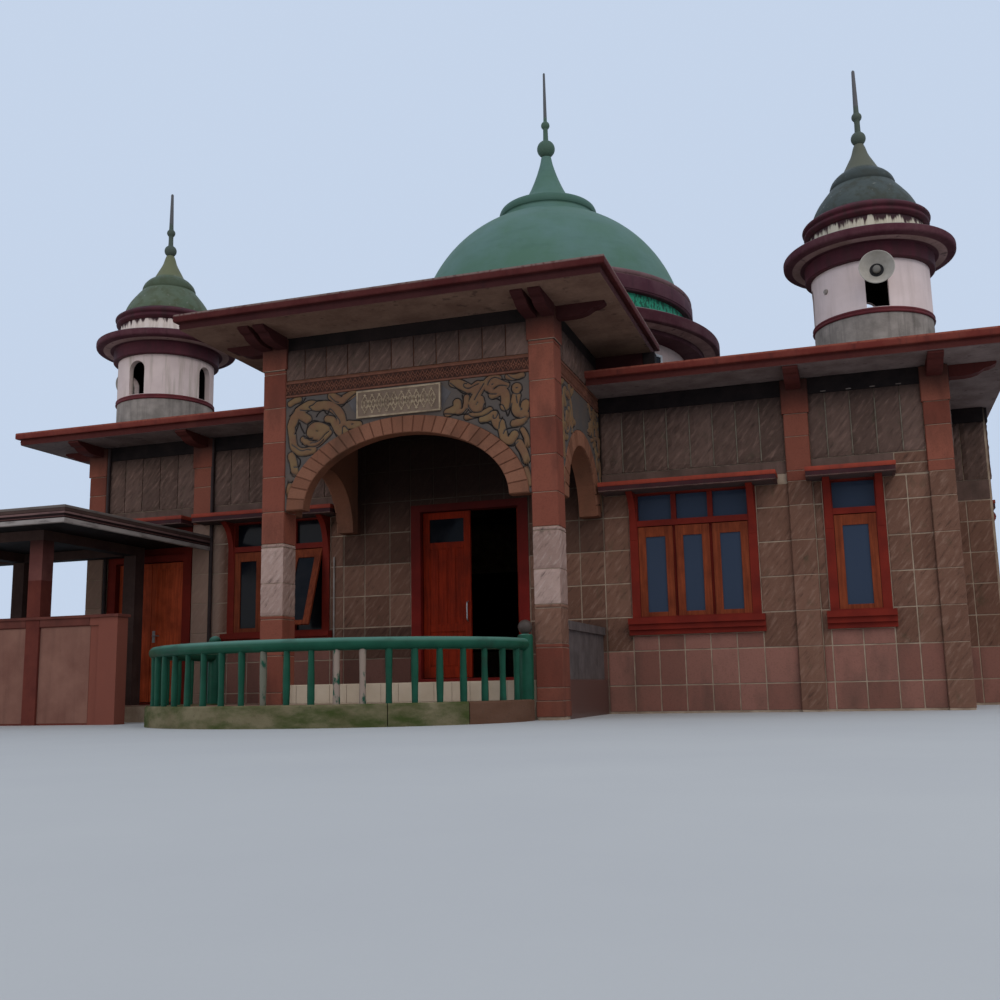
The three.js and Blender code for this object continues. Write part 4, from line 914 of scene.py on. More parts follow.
# %% Turrets
WALL_IN, WALL_OUT = 0.595, 0.685
FOOT_PROFILE = [(WALL_IN, 3.98), (WALL_OUT, 3.98), (WALL_OUT, 4.25), (WALL_OUT, 4.495), (WALL_IN, 4.495)]
BEAD_PROFILE = [(0.60, 4.495), (0.69, 4.495), *arc((0.69, 4.512), 0.017, -90, 60, 6),
                *arc((0.687, 4.546), 0.018, -50, 90, 6), (0.60, 4.565)]
WALL_PROFILE = [(WALL_IN, 4.5652), (WALL_OUT, 4.5652), (WALL_OUT, 5.3295), (WALL_IN, 5.3295)]
BEAM_PROFILE = [(0.6855, 5.15), (0.745, 5.15), (0.755, 5.16), (0.755, 5.3295), (0.6855, 5.3295)]
CANOPY_PROFILE = [
    (WALL_IN, 5.3303), (0.77, 5.3303), *flowing([(0.80, 5.332), (0.88, 5.338), (0.955, 5.346)], 5),
    *arc((0.972, 5.376), 0.030, -90, 0, 5), (1.003, 5.40), *arc((0.973, 5.421), 0.030, 0, 70, 5),
    *flowing([(0.95, 5.455), (0.83, 5.470), (0.676, 5.49)], 5), (WALL_IN, 5.49)]
DRUM_PROFILE = [(0.60, 5.4903), (0.68, 5.4903), (0.676, 5.6), (0.672, 5.70), (0.60, 5.70)]
RING_PROFILE = [(0.60, 5.7003), (0.69, 5.7003), (0.705, 5.712), *arc((0.712, 5.745), 0.024, -70, 60, 5),
                (0.722, 5.775), *arc((0.722, 5.815), 0.03, -70, 70, 7), (0.725, 5.85), (0.70, 5.868),
                (0.66, 5.89), (0.60, 5.89)]
BELL_PROFILE = [
    *flowing([(0.632, 5.8903), (0.615, 5.97), (0.555, 6.09), (0.468, 6.21), (0.395, 6.30)], 18),
    (0.383, 6.312), (0.388, 6.33),
    *flowing([(0.386, 6.35), (0.36, 6.41), (0.305, 6.472), (0.245, 6.515)], 10),
    *flowing([(0.22, 6.535), (0.16, 6.65), (0.105, 6.76), (0.075, 6.86), (0.058, 6.905)], 14),
    (0.0, 6.905), (0.0, 6.38), *flowing([(0.2, 6.33), (0.45, 6.12), (0.575, 5.8903)], 10)]
TIP_PROFILE = [(0.0, 6.9), (0.045, 6.9), *arc((0, 6.99), 0.09, -60, 64, 12), (0.036, 7.1), (0.034, 7.2),
               *arc((0, 7.28), 0.062, -52, 55, 9), (0.032, 7.36), (0.027, 7.6), (0.02, 7.90),
               (0.012, 7.915), (0.0, 7.92)]


def turret(side, centre, bell_paint):
    """Nine turned parts, from the roof up; two bars cut the wall's four windows."""
    def part(name, profile, finish, slot, smooth=32, steps=96, solids=()):
        return turned(f"turret_{side}_{name}", profile, centre, finish, slot, steps, smooth,
                      stands_for=tuple(f"turret_{side}_{node}" for node in solids))

    part("foot", FOOT_PROFILE, GREY_CONCRETE, "concrete")
    part("bead", BEAD_PROFILE, BEAD_RED, "maroon_paint")
    wall = part("wall", WALL_PROFILE, TURRET_PLASTER[side], "pink_plaster", solids=("tower",))
    carve(wall, [arched_bar(centre, across, WINDOW_TURN[side]) for across in (False, True)])
    part("beam", BEAM_PROFILE, MAROON, "maroon_paint")
    part("canopy_ring", CANOPY_PROFILE, CANOPY, "maroon_paint", 40, solids=("canopy",))
    part("small_drum", DRUM_PROFILE, DRIPS[side], "pink_plaster")
    part("ring", RING_PROFILE, MAROON, "maroon_paint", 40)
    part("bell", BELL_PROFILE, bell_paint, "dome_green", 30, solids=("dome",))
    part("finial", TIP_PROFILE, TURRET_FINIAL, "dome_green", 40, 32)


turret("left", (-TURRET[0], TURRET[1]), BELL_LEFT)
turret("right", TURRET, BELL_RIGHT)

# %% [markdown]
# A cornice is a profile carried along the slab's edge. At a corner the outward direction is the sum of the
# two edges' directions, which is what a mitre is. The profile has two rounded bands, the upper one
# standing out, with a worn edge on top.

# %% Cornices
def carried_along(profile, path, outward):
    """Point (i, j) is path i + outward i * depth j, raised to height j. outward already holds the mitre."""
    depth, height = np.asarray(profile, float).T
    path, outward = np.asarray(path, float), np.asarray(outward, float)
    flat = path[:, None, :] + outward[:, None, :] * depth[None, :, None]
    return np.concatenate([flat, np.broadcast_to(height, flat.shape[:2])[..., None]], -1)


def cornice(name, profile, path, outward, finish, slot, closed=True, smooth=50, **more):
    points = carried_along(profile, path, outward)
    rows, columns = points.shape[:2]
    faces = grid_faces(rows, columns, True, True) if closed else capped_faces(rows, columns)
    return new_piece(name, points, faces, finish, slot, smooth=smooth, **more)


def cornice_profile(low):
    """Depth 0 is the upper band's face in the solid; the mouldings stand 4 mm proud of it."""
    lower = [(-0.10, low + 0.002), *arc((-0.0605, low + 0.012), 0.012, -90, 0, 4),
             (-0.0485, low + 0.03), (-0.043, low + 0.045), (-0.0485, low + 0.062), (-0.051, low + 0.08)]
    upper = [(-0.02, low + 0.083), *arc((-0.010, low + 0.097), 0.014, -90, 0, 4), (0.004, low + 0.125),
             *arc((-0.012, low + 0.156), 0.016, 0, 90, 5), (-0.10, low + 0.172)]
    return lower + upper


ROOF = (-6.48, 6.48, -4.97, 4.97)
NOTCH = 1.722
cornice("hall_cornice", cornice_profile(3.81),
        [(-NOTCH, ROOF[2]), (ROOF[0], ROOF[2]), (ROOF[0], ROOF[3]), (ROOF[1], ROOF[3]), (ROOF[1], ROOF[2]),
         (NOTCH, ROOF[2])],
        [(0, -1), (-1, -1), (-1, 1), (1, 1), (1, -1), (0, -1)], HALL_SLAB, "roof_paint", closed=False)
PORCH_ROOF = (-2.457, 2.457, -7.096, -3.99)
cornice("portico_cornice", cornice_profile(4.34),
        [(PORCH_ROOF[0], PORCH_ROOF[2]), (PORCH_ROOF[0], PORCH_ROOF[3]), (PORCH_ROOF[1], PORCH_ROOF[3]),
         (PORCH_ROOF[1], PORCH_ROOF[2])], [(-1, -1), (-1, 1), (1, 1), (1, -1)], PORTICO_SLAB, "roof_paint")

# %% [markdown]
# The portico's face has five layers, from the top: a near-black sheet that paints the shade of a recess,
# square rough plates, an interlaced frieze, carved foliage with the plaque, and the arch's ring of
# wedge-shaped stones. The same layers run over the two side arches.

# %% Square plates, frieze and wedges
PORTICO = facing("front", -6.33)
PORTICO_LEFT = facing("left", -1.70)
PORTICO_RIGHT = facing("right", 1.70)
# A near-black sheet of painted shade under the portico's soffit.
RECESS_SHADE = make_plain("recess_painted_shade", (0.022, 0.014, 0.013), (0.012, 0.009, 0.008), 0.9)
FRIEZE_RED = make_plain("frieze_red", (0.20, 0.078, 0.048), (0.13, 0.052, 0.034), 0.85, 9, 0.002)
FRIEZE_BACK = make_plain("frieze_back", (0.085, 0.036, 0.025), (0.05, 0.024, 0.018), 0.9, 9, 0.002)
WEDGE = make_tile_stone("wedge_stone", (0.17, 0.065, 0.036), (0.28, 0.12, 0.07), (0.08, 0.04, 0.024))
SQUARES_LOW, SQUARES_HIGH = 3.835, 4.185
FRIEZE_LOW, FRIEZE_HIGH = 3.634, 3.813
SQUARE_PITCH, FRIEZE_PERIOD, BED_LIFT = 0.267, 0.118, 0.010
squares, recess_shade_sheets, frieze, frieze_beds, wedges = Heap(), Heap(), Heap(), Heap(), Heap()


def strip(heap, place, path, half, lift):
    """A raised line with a roof-shaped section along a path in wall coordinates; it closes at its ends."""
    path = np.asarray(path, float)
    way = np.gradient(path, axis=0)
    way /= np.linalg.norm(way, axis=1, keepdims=True)
    side = np.stack([-way[:, 1], way[:, 0]], -1) * half
    across = np.array([-1, -0.45, 0.45, 1, 0])
    depth = np.array([-0.004, lift, lift, -0.004, -0.006])
    flat = path[:, None, :] + side[:, None, :] * across[None, :, None]
    heap.add(place(flat[..., 0], flat[..., 1], depth[None, :]), capped_faces(len(path), len(across)))


def diamond(a, b, half_width, half_height):
    """Four corners round (a, b), counter-clockwise."""
    return np.array([[(a, b - half_height), (a + half_width, b), (a, b + half_height), (a - half_width, b)]])


def portico_layers(place, a0, a1, first_cut):
    """A near-black sheet of painted recess shade, squares and frieze between a0 and a1. The frieze is two
    zigzags of opposite phase, which cross in diamonds, with a small diamond in each."""
    add_plates(recess_shade_sheets, place, rectangles(a0, a1, 4.19, 4.34), 0.004, 0.001)
    cuts = np.array([a0, *np.arange(first_cut, a1 - 0.05, SQUARE_PITCH), a1])
    plates = rectangles(cuts[:-1] + 0.007, cuts[1:] - 0.007, SQUARES_LOW, SQUARES_HIGH)
    add_rough_plates(squares, place, plates, 0.03, 0.012, 0.035)
    add_plates(frieze_beds, place, rectangles(a0, a1, FRIEZE_LOW, FRIEZE_HIGH), BED_LIFT, 0.002)
    for low in (FRIEZE_LOW, FRIEZE_HIGH - 0.024):
        add_plates(frieze, place, rectangles(a0, a1, low, low + 0.024), 0.022, 0.004)
    middle, reach = (FRIEZE_LOW + FRIEZE_HIGH) / 2, 0.054
    period = (a1 - a0) / max(1, round((a1 - a0) / FRIEZE_PERIOD))
    turns = np.arange(a0, a1 + period / 4, period / 2)
    for sign in (-1, 1):
        zigzag = [(a, middle + sign * reach * (-1) ** i) for i, a in enumerate(turns)]
        legs = [np.linspace(first, last, 4)[:-1] for first, last in zip(zigzag, zigzag[1:])]
        strip(frieze, lambda a, b, depth: place(a, b, depth + BED_LIFT), np.vstack([*legs, zigzag[-1]]),
              0.0085, 0.011)
    for a in turns:
        if a0 + THINNEST < a < a1 - THINNEST:
            add_plates(frieze, place, diamond(a, middle, 0.017, 0.017), 0.02, 0.005)


portico_layers(PORTICO, -1.45, 1.45, -1.21)
portico_layers(PORTICO_RIGHT, -6.08, -4.28, -5.94)
portico_layers(PORTICO_LEFT, 4.28, 6.08, 4.42)
squares.make("square_plates", ROUGH_STONE, "wall_stone")
recess_shade_sheets.make("recess_painted_shade_sheets", RECESS_SHADE, "wall_stone")
frieze_beds.make("frieze_beds", FRIEZE_BACK, "red_stone")
frieze.make("frieze_interlace", FRIEZE_RED, "red_stone")

# %% [markdown]
# Wedges follow the arch, which is half an ellipse. Each is a plate whose four corners lie on the inner and
# the outer ellipse, less half a joint at both sides.

# %% Wedge stones
ARCH_SPRING = 2.325
ARCH_INNER, ARCH_OUTER = (1.203, 0.772), (1.418, 0.957)
SIDE_ARCH_Y, SIDE_INNER, SIDE_OUTER = -5.177, (0.68, 0.703), (0.86, 0.88)


def arch_point(centre, half, rise, t):
    """(centre + half cos t, spring + rise sin t)."""
    return np.stack([centre + half * np.cos(t), ARCH_SPRING + rise * np.sin(t)], -1)


def add_wedges(place, centre, inner, outer, count, lift, joint=0.012):
    """Equal lengths along the middle ellipse give the cuts; a joint is a small turn at both ends."""
    t = np.linspace(0, math.pi, 721)
    middle = arch_point(centre, (inner[0] + outer[0]) / 2, (inner[1] + outer[1]) / 2, t)
    length = np.concatenate([[0], np.cumsum(np.linalg.norm(np.diff(middle, axis=0), axis=1))])
    cuts = np.linspace(0, length[-1], count + 1)
    start = np.interp(cuts[:-1] + joint / 2, length, t)
    stop = np.interp(cuts[1:] - joint / 2, length, t)
    quads = np.stack([arch_point(centre, *inner, start), arch_point(centre, *outer, start),
                      arch_point(centre, *outer, stop), arch_point(centre, *inner, stop)], 1)
    add_plates(wedges, place, quads, lift, 0.005)


add_wedges(facing("front", -6.36), 0, ARCH_INNER, ARCH_OUTER, 28, 0.012)
SIDE_ARCHES = ((PORTICO_RIGHT, SIDE_ARCH_Y), (PORTICO_LEFT, -SIDE_ARCH_Y))
for place, centre in SIDE_ARCHES:
    add_wedges(place, centre, SIDE_INNER, SIDE_OUTER, 17, 0.022)
wedges.make("arch_wedges", WEDGE, "red_stone")

# %% [markdown]
# A front window has a sash in each of its lights below the transom, varnished orange-brown. The sash's
# stiles hide the mullions, but for a dark gap between two sashes. One sash of the left window is hung at
# its top and stands open. The posts flare forward under the hood. The windows of the sides and the rear
# repeat the front ones, with their posts, mullions and sills drawn here.

# %% Varnish, glass and steel
def make_varnish(name, light, dark, grain_way, roughness=0.45):
    """Varnished wood: noise drawn long along the grain, with darker streaks."""
    f = Finish(name, roughness=roughness, Specular_IOR_Level=0.05)
    grain = f.noise(38, stretch=grain_way, detail=6)
    cloud = f.noise(3, detail=4)
    colour = f.mix(f.steps(grain, 0.35, 0.68), light, dark)
    colour = f.mix(f.steps(cloud, 0.45, 0.8, 0, 0.6), colour, (0.06, 0.010, 0.005))
    return f.done(colour, grain, 0.0008)


def make_glass():
    """Dark and dusty, with a painted reflection of the sky's blue in the front panes of the right wing."""
    f = Finish("dark_glass", roughness=0.08, IOR=1.5, Specular_IOR_Level=0.08)
    dust = f.noise(3.5, detail=6)
    colour = f.mix(f.steps(dust, 0.45, 0.75), (0.006, 0.007, 0.010), (0.016, 0.014, 0.015))
    # Painted reflection of the sky.
    sky_reflection = f.times(f.steps(f.x, 1.8, 2.0, 0, 0.85), f.steps(f.y, -4.2, -4.1, 1, 0))
    colour = f.mix(sky_reflection, colour, (0.042, 0.058, 0.092))
    return f.done(colour, dust, 0.0005, f.steps(dust, 0.4, 0.8, 0.05, 0.3))


UPRIGHT_WOOD = make_varnish("upright_varnish", (0.29, 0.024, 0.006), (0.17, 0.013, 0.004), (1, 1, 0.08))
# Brighter and more orange than the main door's varnish: its own orange-red, and painted light on leaves
# under the pavilion roof.
SIDE_DOOR_LIT_WOOD = make_varnish("side_door_varnish_with_painted_light", (0.62, 0.10, 0.033), (0.40, 0.06, 0.02), (1, 1, 0.08))
SASH_WOOD = make_varnish("sash_varnish", (0.26, 0.055, 0.020), (0.15, 0.030, 0.012), (1, 1, 0.08))
GLASS = make_glass()
STEEL = make_plain("brushed_steel", (0.42, 0.41, 0.39), (0.30, 0.29, 0.28), 0.35)
STEEL.node_tree.nodes["Principled BSDF"].inputs["Metallic"].default_value = 0.8
print("window and door finishes:", UPRIGHT_WOOD.name, SIDE_DOOR_LIT_WOOD.name, SASH_WOOD.name, GLASS.name)

# %% [markdown]
# Frames are made of plain blocks whose edges a Bevel modifier rounds. The blocks are laid out on a wall as
# (along, outwards, up), and one function then turns them into place, so front, side and rear windows share
# the same code.

# %% Sashes, bars and flared posts
WINDOW_SILL, WINDOW_HEAD, TRANSOM = 1.10, 2.59, (2.19, 2.26)
POST, MULLION = 0.10, 0.06
FRONT_WINDOWS = ((-3.44, -1.93, 3), (2.05, 3.54, 3), (4.29, 4.95, 1))
SASH_LOW, SASH_HIGH, SASH_STILE = 1.108, 2.18, 0.088
OPEN_SASH = {"window": -3.44, "number": 2, "degrees": 20}
sashes, sash_panes, bars, flares = Heap(), Heap(), Heap(), Heap()


def add_block(heap, x0, x1, y0, y1, z0, z1, tone=0.5, move=None):
    points = block_points(x0, x1, y0, y1, z0, z1)
    heap.add(points if move is None else move(points), BLOCK_FACES, tone)


def add_frame(heap, x0, x1, y0, y1, z0, z1, width, move=None):
    """Two stiles and two rails around an opening."""
    add_block(heap, x0, x0 + width, y0, y1, z0, z1, 0.2, move)
    add_block(heap, x1 - width, x1, y0, y1, z0, z1, 0.4, move)
    for low in (z0, z1 - width):
        add_block(heap, x0 + width, x1 - width, y0 + 0.001, y1 - 0.001, low, low + width, 0.6, move)


def bevelled(piece, width):
    step = piece.modifiers.new("edges", "BEVEL")
    step.width, step.segments, step.limit_method = width, 2, "ANGLE"


def on_wall(place):
    """Turns points of (a, depth, b) on a wall, as the front's (x, -y, z), into space."""
    return lambda p: place(p[..., 0], p[..., 2], p[..., 1])


def add_sash(left, right, out, move):
    """Two stiles, a broad top rail and a low bottom rail around a pane; depths are measured outwards."""
    inner = (left + SASH_STILE, right - SASH_STILE)
    for x0, x1 in ((left, inner[0]), (inner[1], right)):
        add_block(sashes, x0, x1, out - 0.035, out, SASH_LOW, SASH_HIGH, 0.3, move)
    for z0, z1 in ((SASH_LOW, SASH_LOW + 0.062), (SASH_HIGH - 0.12, SASH_HIGH)):
        add_block(sashes, *inner, out - 0.034, out - 0.001, z0, z1, 0.6, move)
    add_block(sash_panes, inner[0] - 0.004, inner[1] + 0.004, out - 0.021, out - 0.016,
              SASH_LOW + 0.058, SASH_HIGH - 0.116, 0.5, move)


def tilted(angle, high, out):
    """Turns points (a, depth, b) outwards about the level line at that height and depth."""
    c, s = math.cos(math.radians(angle)), math.sin(math.radians(angle))
    return lambda p: np.stack([p[..., 0], out + c * (p[..., 1] - out) - s * (p[..., 2] - high),
                               high + s * (p[..., 1] - out) + c * (p[..., 2] - high)], -1)


def add_sashes(place, x0, x1, lights, out):
    light = (x1 - x0 - 2 * POST) / lights
    for number in range(lights):
        left, right = x0 + POST + number * light, x0 + POST + (number + 1) * light
        left += 0.004 if number == 0 else 0.017
        right -= 0.004 if number == lights - 1 else 0.017
        open_one = place is FRONT and (x0, number) == (OPEN_SASH["window"], OPEN_SASH["number"])
        swing = tilted(OPEN_SASH["degrees"] if open_one else 0, SASH_HIGH, out)
        add_sash(left, right, out, lambda p: on_wall(place)(swing(p)))


def add_bars(place, x0, x1, lights, back):
    """Posts, mullions, transom and stepped sill, as the front's solid ones."""
    move = on_wall(place)
    light = (x1 - x0 - 2 * POST) / lights
    for left, right in ((x0, x0 + POST), (x1 - POST, x1)):
        add_block(bars, left, right, -back, 0.03, WINDOW_SILL, WINDOW_HEAD, 0.5, move)
    for number in range(1, lights):
        left = x0 + POST + number * light - MULLION / 2
        add_block(bars, left, left + MULLION, -back, -0.012, WINDOW_SILL, WINDOW_HEAD, 0.5, move)
    for z0, z1 in ((WINDOW_SILL, WINDOW_SILL + 0.02), TRANSOM, (WINDOW_HEAD - 0.02, WINDOW_HEAD)):
        add_block(bars, x0 + 0.01, x1 - 0.01, -back + 0.002, 0.027, z0, z1, 0.5, move)
    for z0, z1, out in ((0.905, 0.965, 0.06), (0.965, 1.03, 0.095), (1.03, 1.10, 0.13)):
        add_block(bars, x0 - 0.04, x1 + 0.04, 0.001, out, z0, z1, 0.5, move)


def add_flare(place, x0, x1, reach):
    """The upper end of a post: from a small neck its front curves out to the hood."""
    curve = [(0.034, 2.10), (0.042, 2.22), (0.075, 2.36), (0.14, 2.49), (reach, 2.588)]
    outline = [(0.028, 2.588), (0.028, 2.03), (0.034, 2.035), *flowing(curve, 14)]
    points = [[(x, depth, z) for depth, z in outline] for x in (x0, x1)]
    flares.add(on_wall(place)(np.array(points)), capped_faces(2, len(outline)))


def fill_window(place, x0, x1, lights, reach):
    """Sashes and both posts' flares; the hood stands out by reach."""
    add_sashes(place, x0, x1, lights, 0.027)
    for left in (x0 + 0.012, x1 - POST + 0.012):
        add_flare(place, left, left + POST - 0.024, reach)


for x0, x1, lights in FRONT_WINDOWS:
    fill_window(FRONT, x0, x1, lights, 0.26)
LEFT_WINDOWS = [(-rear, -front) for front, rear in SIDE_WINDOWS]
for place, windows, reach in ((LEFT, LEFT_WINDOWS, 0.1), (RIGHT, SIDE_WINDOWS, 0.1),
                              (REAR, REAR_WINDOWS, 0.26)):
    for x0, x1 in windows:
        add_bars(place, x0, x1, 3, 0.08)
        fill_window(place, x0, x1, 3, reach)
bevelled(sashes.make("window_sashes", SASH_WOOD, "door_wood"), 0.003)
sash_panes.make("sash_panes", GLASS, "window_glass")
bevelled(bars.make("side_and_rear_window_bars", WINDOW_RED, "frame_red"), 0.006)
flares.make("flared_post_tops", WINDOW_RED, "frame_red", smooth=40)

# %% [markdown]
# The hoods' front edges are a bright red strip over a dull dark one, with a thin brown line along the
# bottom where the water drips. Each is a small profile carried round the hood's three free sides.

# %% Hood edges
HOOD_RED = make_plain("hood_red", (0.33, 0.05, 0.026), (0.22, 0.036, 0.022), 0.6, 4, 0.0008, 0.25)
HOOD_RECESS = make_plain("hood_recess", (0.062, 0.018, 0.02), (0.035, 0.013, 0.014), 0.7, 5, 0.001, 0.3)
HOOD_DRIP = make_plain("hood_drip_line", (0.13, 0.065, 0.055), (0.06, 0.03, 0.027), 0.85, 7, 0.001, 0.4)
UPPER_EDGE = [(-0.03, 2.650), (0.002, 2.650), (0.007, 2.655), (0.007, 2.694), (0.001, 2.702), (-0.03, 2.703)]
MIDDLE_EDGE = [(-0.03, 2.600), (0.0015, 2.600), (0.0015, 2.648), (0.001, 2.6498), (-0.03, 2.6498)]
LOWER_EDGE = [(-0.03, 2.587), (0.001, 2.587), (0.004, 2.590), (0.003, 2.597), (-0.003, 2.5995),
              (-0.03, 2.5995)]
WALL_FACE, HOOD_FACE, SIDE_WALL_FACE, SIDE_HOOD_FACE = 4.28, 4.62, 6.33, 6.44
HOODS = []
for side, spans in ((-1, ((-5.44, -3.98), (-3.81, -1.76), (1.76, 3.80), (4.13, 5.08))),
                    (1, ((-4.30, -2.50), (2.50, 4.30)))):
    for x0, x1 in spans:
        HOODS.append(([(x0, side * WALL_FACE), (x0, side * HOOD_FACE), (x1, side * HOOD_FACE),
                       (x1, side * WALL_FACE)], [(-1, 0), (-1, side), (1, side), (1, 0)]))
for side in (-1, 1):
    for y0, y1 in ((-1.17, 0.63), (1.43, 3.23)):
        HOODS.append(([(side * SIDE_WALL_FACE, y0), (side * SIDE_HOOD_FACE, y0), (side * SIDE_HOOD_FACE, y1),
                       (side * SIDE_WALL_FACE, y1)], [(0, -1), (side, -1), (side, 1), (0, 1)]))
for profile, part, finish in ((UPPER_EDGE, "hood_strips", HOOD_RED),
                              (MIDDLE_EDGE, "hood_recesses", HOOD_RECESS),
                              (LOWER_EDGE, "hood_drip_lines", HOOD_DRIP)):
    edges = Heap()
    for path, outward in HOODS:
        edges.add(carried_along(profile, path, outward), capped_faces(len(path), len(profile)))
    edges.make(part, finish, "frame_red", smooth=50)

# %% [markdown]
# A main leaf has a pane at its top, four upright boards with V-grooves, a middle rail and a lower panel.
# It is built closed. The right leaf stands open, so its points are then turned about its hinge line, as
# the solid was. A side leaf has one tall panel.

# %% Door leaves
LEAF_FRONT, LEAF_BACK, STILE, RIM = -4.210, -4.170, 0.088, 0.014
BOTTOM_RAIL, MIDDLE_RAIL, TOP_RAIL = 0.14, (1.035, 1.125), (2.085, 2.165)
BOARD_SINK = 0.018
BOARD_FRONT, BOARD_BACK = facing("front", LEAF_FRONT + BOARD_SINK), facing("rear", LEAF_BACK - BOARD_SINK)


def stay(points):
    return points


def leaf_pieces(name, node, x0, x1, z0, z1, wood, main, move=stay):
    """A main leaf has a pane and boards, a side leaf one tall panel. name is also the body's."""
    frame_heap, boards, panes = Heap(), Heap(), Heap()
    add_frame(frame_heap, x0, x1, LEAF_FRONT, LEAF_BACK, z0, z1, STILE, move)
    inner = (x0 + STILE, x1 - STILE)
    panels = [(z0 + STILE, z1 - STILE, 1)]
    if main:
        panels = [(z0 + BOTTOM_RAIL, MIDDLE_RAIL[0], 1), (MIDDLE_RAIL[1], TOP_RAIL[0], 4)]
        for low, high in ((z0 + STILE, z0 + BOTTOM_RAIL), MIDDLE_RAIL, TOP_RAIL):
            add_block(frame_heap, *inner, LEAF_FRONT + 0.001, LEAF_BACK - 0.001, low, high, 0.5, move)
        add_block(panes, inner[0] - 0.01, inner[1] + 0.01, LEAF_FRONT + 0.014, LEAF_FRONT + 0.02,
                  TOP_RAIL[1], z1 - STILE + 0.01, 0.5, move)
    for low, high, count in panels:
        gap = 0.0035 if count > 1 else 0.012
        cuts = np.linspace(*inner, count + 1)
        for left, right in zip(cuts[:-1], cuts[1:]):
            for place, a0, a1 in ((BOARD_FRONT, left, right), (BOARD_BACK, -right, -left)):
                add_plates(boards, lambda a, b, depth: move(place(a, b, depth)),
                           rectangles(a0 + gap, a1 - gap, low + gap, high - gap), 0.008, 0.006, base=0.0)
        core = (LEAF_FRONT + BOARD_SINK - 0.001, LEAF_BACK - BOARD_SINK + 0.001)
        add_block(boards, *inner, *core, low - 0.002, high + 0.002, 0.3, move)
        rim_y = (LEAF_FRONT + 0.008, LEAF_FRONT + 0.02)
        for z in (low, high - RIM):
            add_block(frame_heap, *inner, *rim_y, z, z + RIM, 0.7, move)
        for x in (inner[0], inner[1] - RIM):
            add_block(frame_heap, x, x + RIM, *rim_y, low, high, 0.7, move)
    bevelled(frame_heap.make(f"{name}_frame", wood, "door_wood", body=name, stands_for=(node,)), 0.003)
    boards.make(f"{name}_boards", wood, "door_wood", body=name)
    if panes.count:
        panes.make(f"{name}_pane", GLASS, "window_glass", body=name)


MAIN_HINGE = (0.642, LEAF_BACK)
OPEN_RIGHT = turn_about(*MAIN_HINGE, -84)
MAIN_LEAF, SIDE_LEAF = (0.463, 2.552, UPRIGHT_WOOD, True), (0.228, 2.122, SIDE_DOOR_LIT_WOOD, False)
leaf_pieces("main_left_leaf", "main_door_left", -0.642, -0.004, *MAIN_LEAF)
leaf_pieces("main_right_leaf", "main_door_right", 0.004, 0.642, *MAIN_LEAF, OPEN_RIGHT)
leaf_pieces("side_left_leaf", "side_door_left", -5.232, -4.699, *SIDE_LEAF)
leaf_pieces("side_right_leaf", "side_door_right", -4.691, -4.158, *SIDE_LEAF)

# %% [markdown]
# Pulls, rails, pipes and balusters are tubes: a ring of points is carried along a path. Each main leaf has
# a bow of steel on both faces, and the side door's right leaf a lever on its plate.

# %% Tubes, pulls and a lever
PULL_BOW = [(-0.002, 1.16), (0.028, 1.175), (0.034, 1.21), (0.034, 1.35), (0.028, 1.385), (-0.002, 1.40)]
LEVER_PATH = [(-4.64, -4.206, 1.12), (-4.64, -4.245, 1.12), (-4.62, -4.25, 1.12), (-4.53, -4.25, 1.118)]


def add_tube(heap, path, radius, sides=10, tone=0.5, up=(0, 0, 1)):
    """path + radius * (cos t * side + sin t * lift), with side level and both square to the path."""
    path = np.asarray(path, float)
    way = np.gradient(path, axis=0)
    way /= np.linalg.norm(way, axis=1, keepdims=True)
    side = np.cross(way, np.array(up, float))
    side /= np.linalg.norm(side, axis=1, keepdims=True)
    lift = np.cross(side, way)
    t = (np.arange(sides) / sides * 2 * math.pi)[None, :, None]
    radius = np.broadcast_to(np.asarray(radius, float), (len(path),))[:, None, None]
    points = path[:, None, :] + radius * (np.cos(t) * side[:, None, :] + np.sin(t) * lift[:, None, :])
    heap.add(points, capped_faces(len(path), sides), tone)


for side, x, move in (("left", -0.048, stay), ("right", 0.048, OPEN_RIGHT)):
    pull = Heap()
    for y, out in ((LEAF_FRONT, -1), (LEAF_BACK, 1)):
        bow = flowing([(x, y + reach * out, z) for reach, z in PULL_BOW], 22)
        add_tube(pull, move(np.array(bow)), 0.009, up=(1, 0.3, 0))
    pull.make(f"main_{side}_pull", STEEL, "horn_metal", body=f"main_{side}_leaf", smooth=50)
lever = Heap()
add_tube(lever, flowing(LEVER_PATH, 14), 0.008)
add_block(lever, -4.662, -4.618, -4.216, -4.2095, 1.03, 1.19)
lever.make("side_right_lever", STEEL, "horn_metal", body="side_right_leaf", smooth=40)

# %% [markdown]
# The railing is a stout, round, hand-painted rail on thin balusters. It runs back along the left side and
# round the half ellipse. Its paint has come off three balusters, where pale plaster shows.

# %% Railing
TERRACE = {"x": -0.7, "y": -6.42, "a": 2.06, "b": 1.55, "tail": -5.63}
RAIL_Z, RAIL_RADIUS, KERB_TOP, BALUSTER_PITCH = 0.76, 0.06, 0.21, 0.24


def terrace_line(count, tail=TERRACE["tail"]):
    """Straight forward along the left side, then round the half ellipse, in equal steps of length."""
    t = np.linspace(math.pi, 2 * math.pi, 721)
    bend = np.stack([TERRACE["x"] + TERRACE["a"] * np.cos(t), TERRACE["y"] + TERRACE["b"] * np.sin(t)], -1)
    path = np.vstack([[TERRACE["x"] - TERRACE["a"], tail], bend])
    length = np.concatenate([[0], np.cumsum(np.linalg.norm(np.diff(path, axis=0), axis=1))])
    where = np.linspace(0, length[-1], count)
    return np.stack([np.interp(where, length, path[:, i]) for i in (0, 1)], -1)


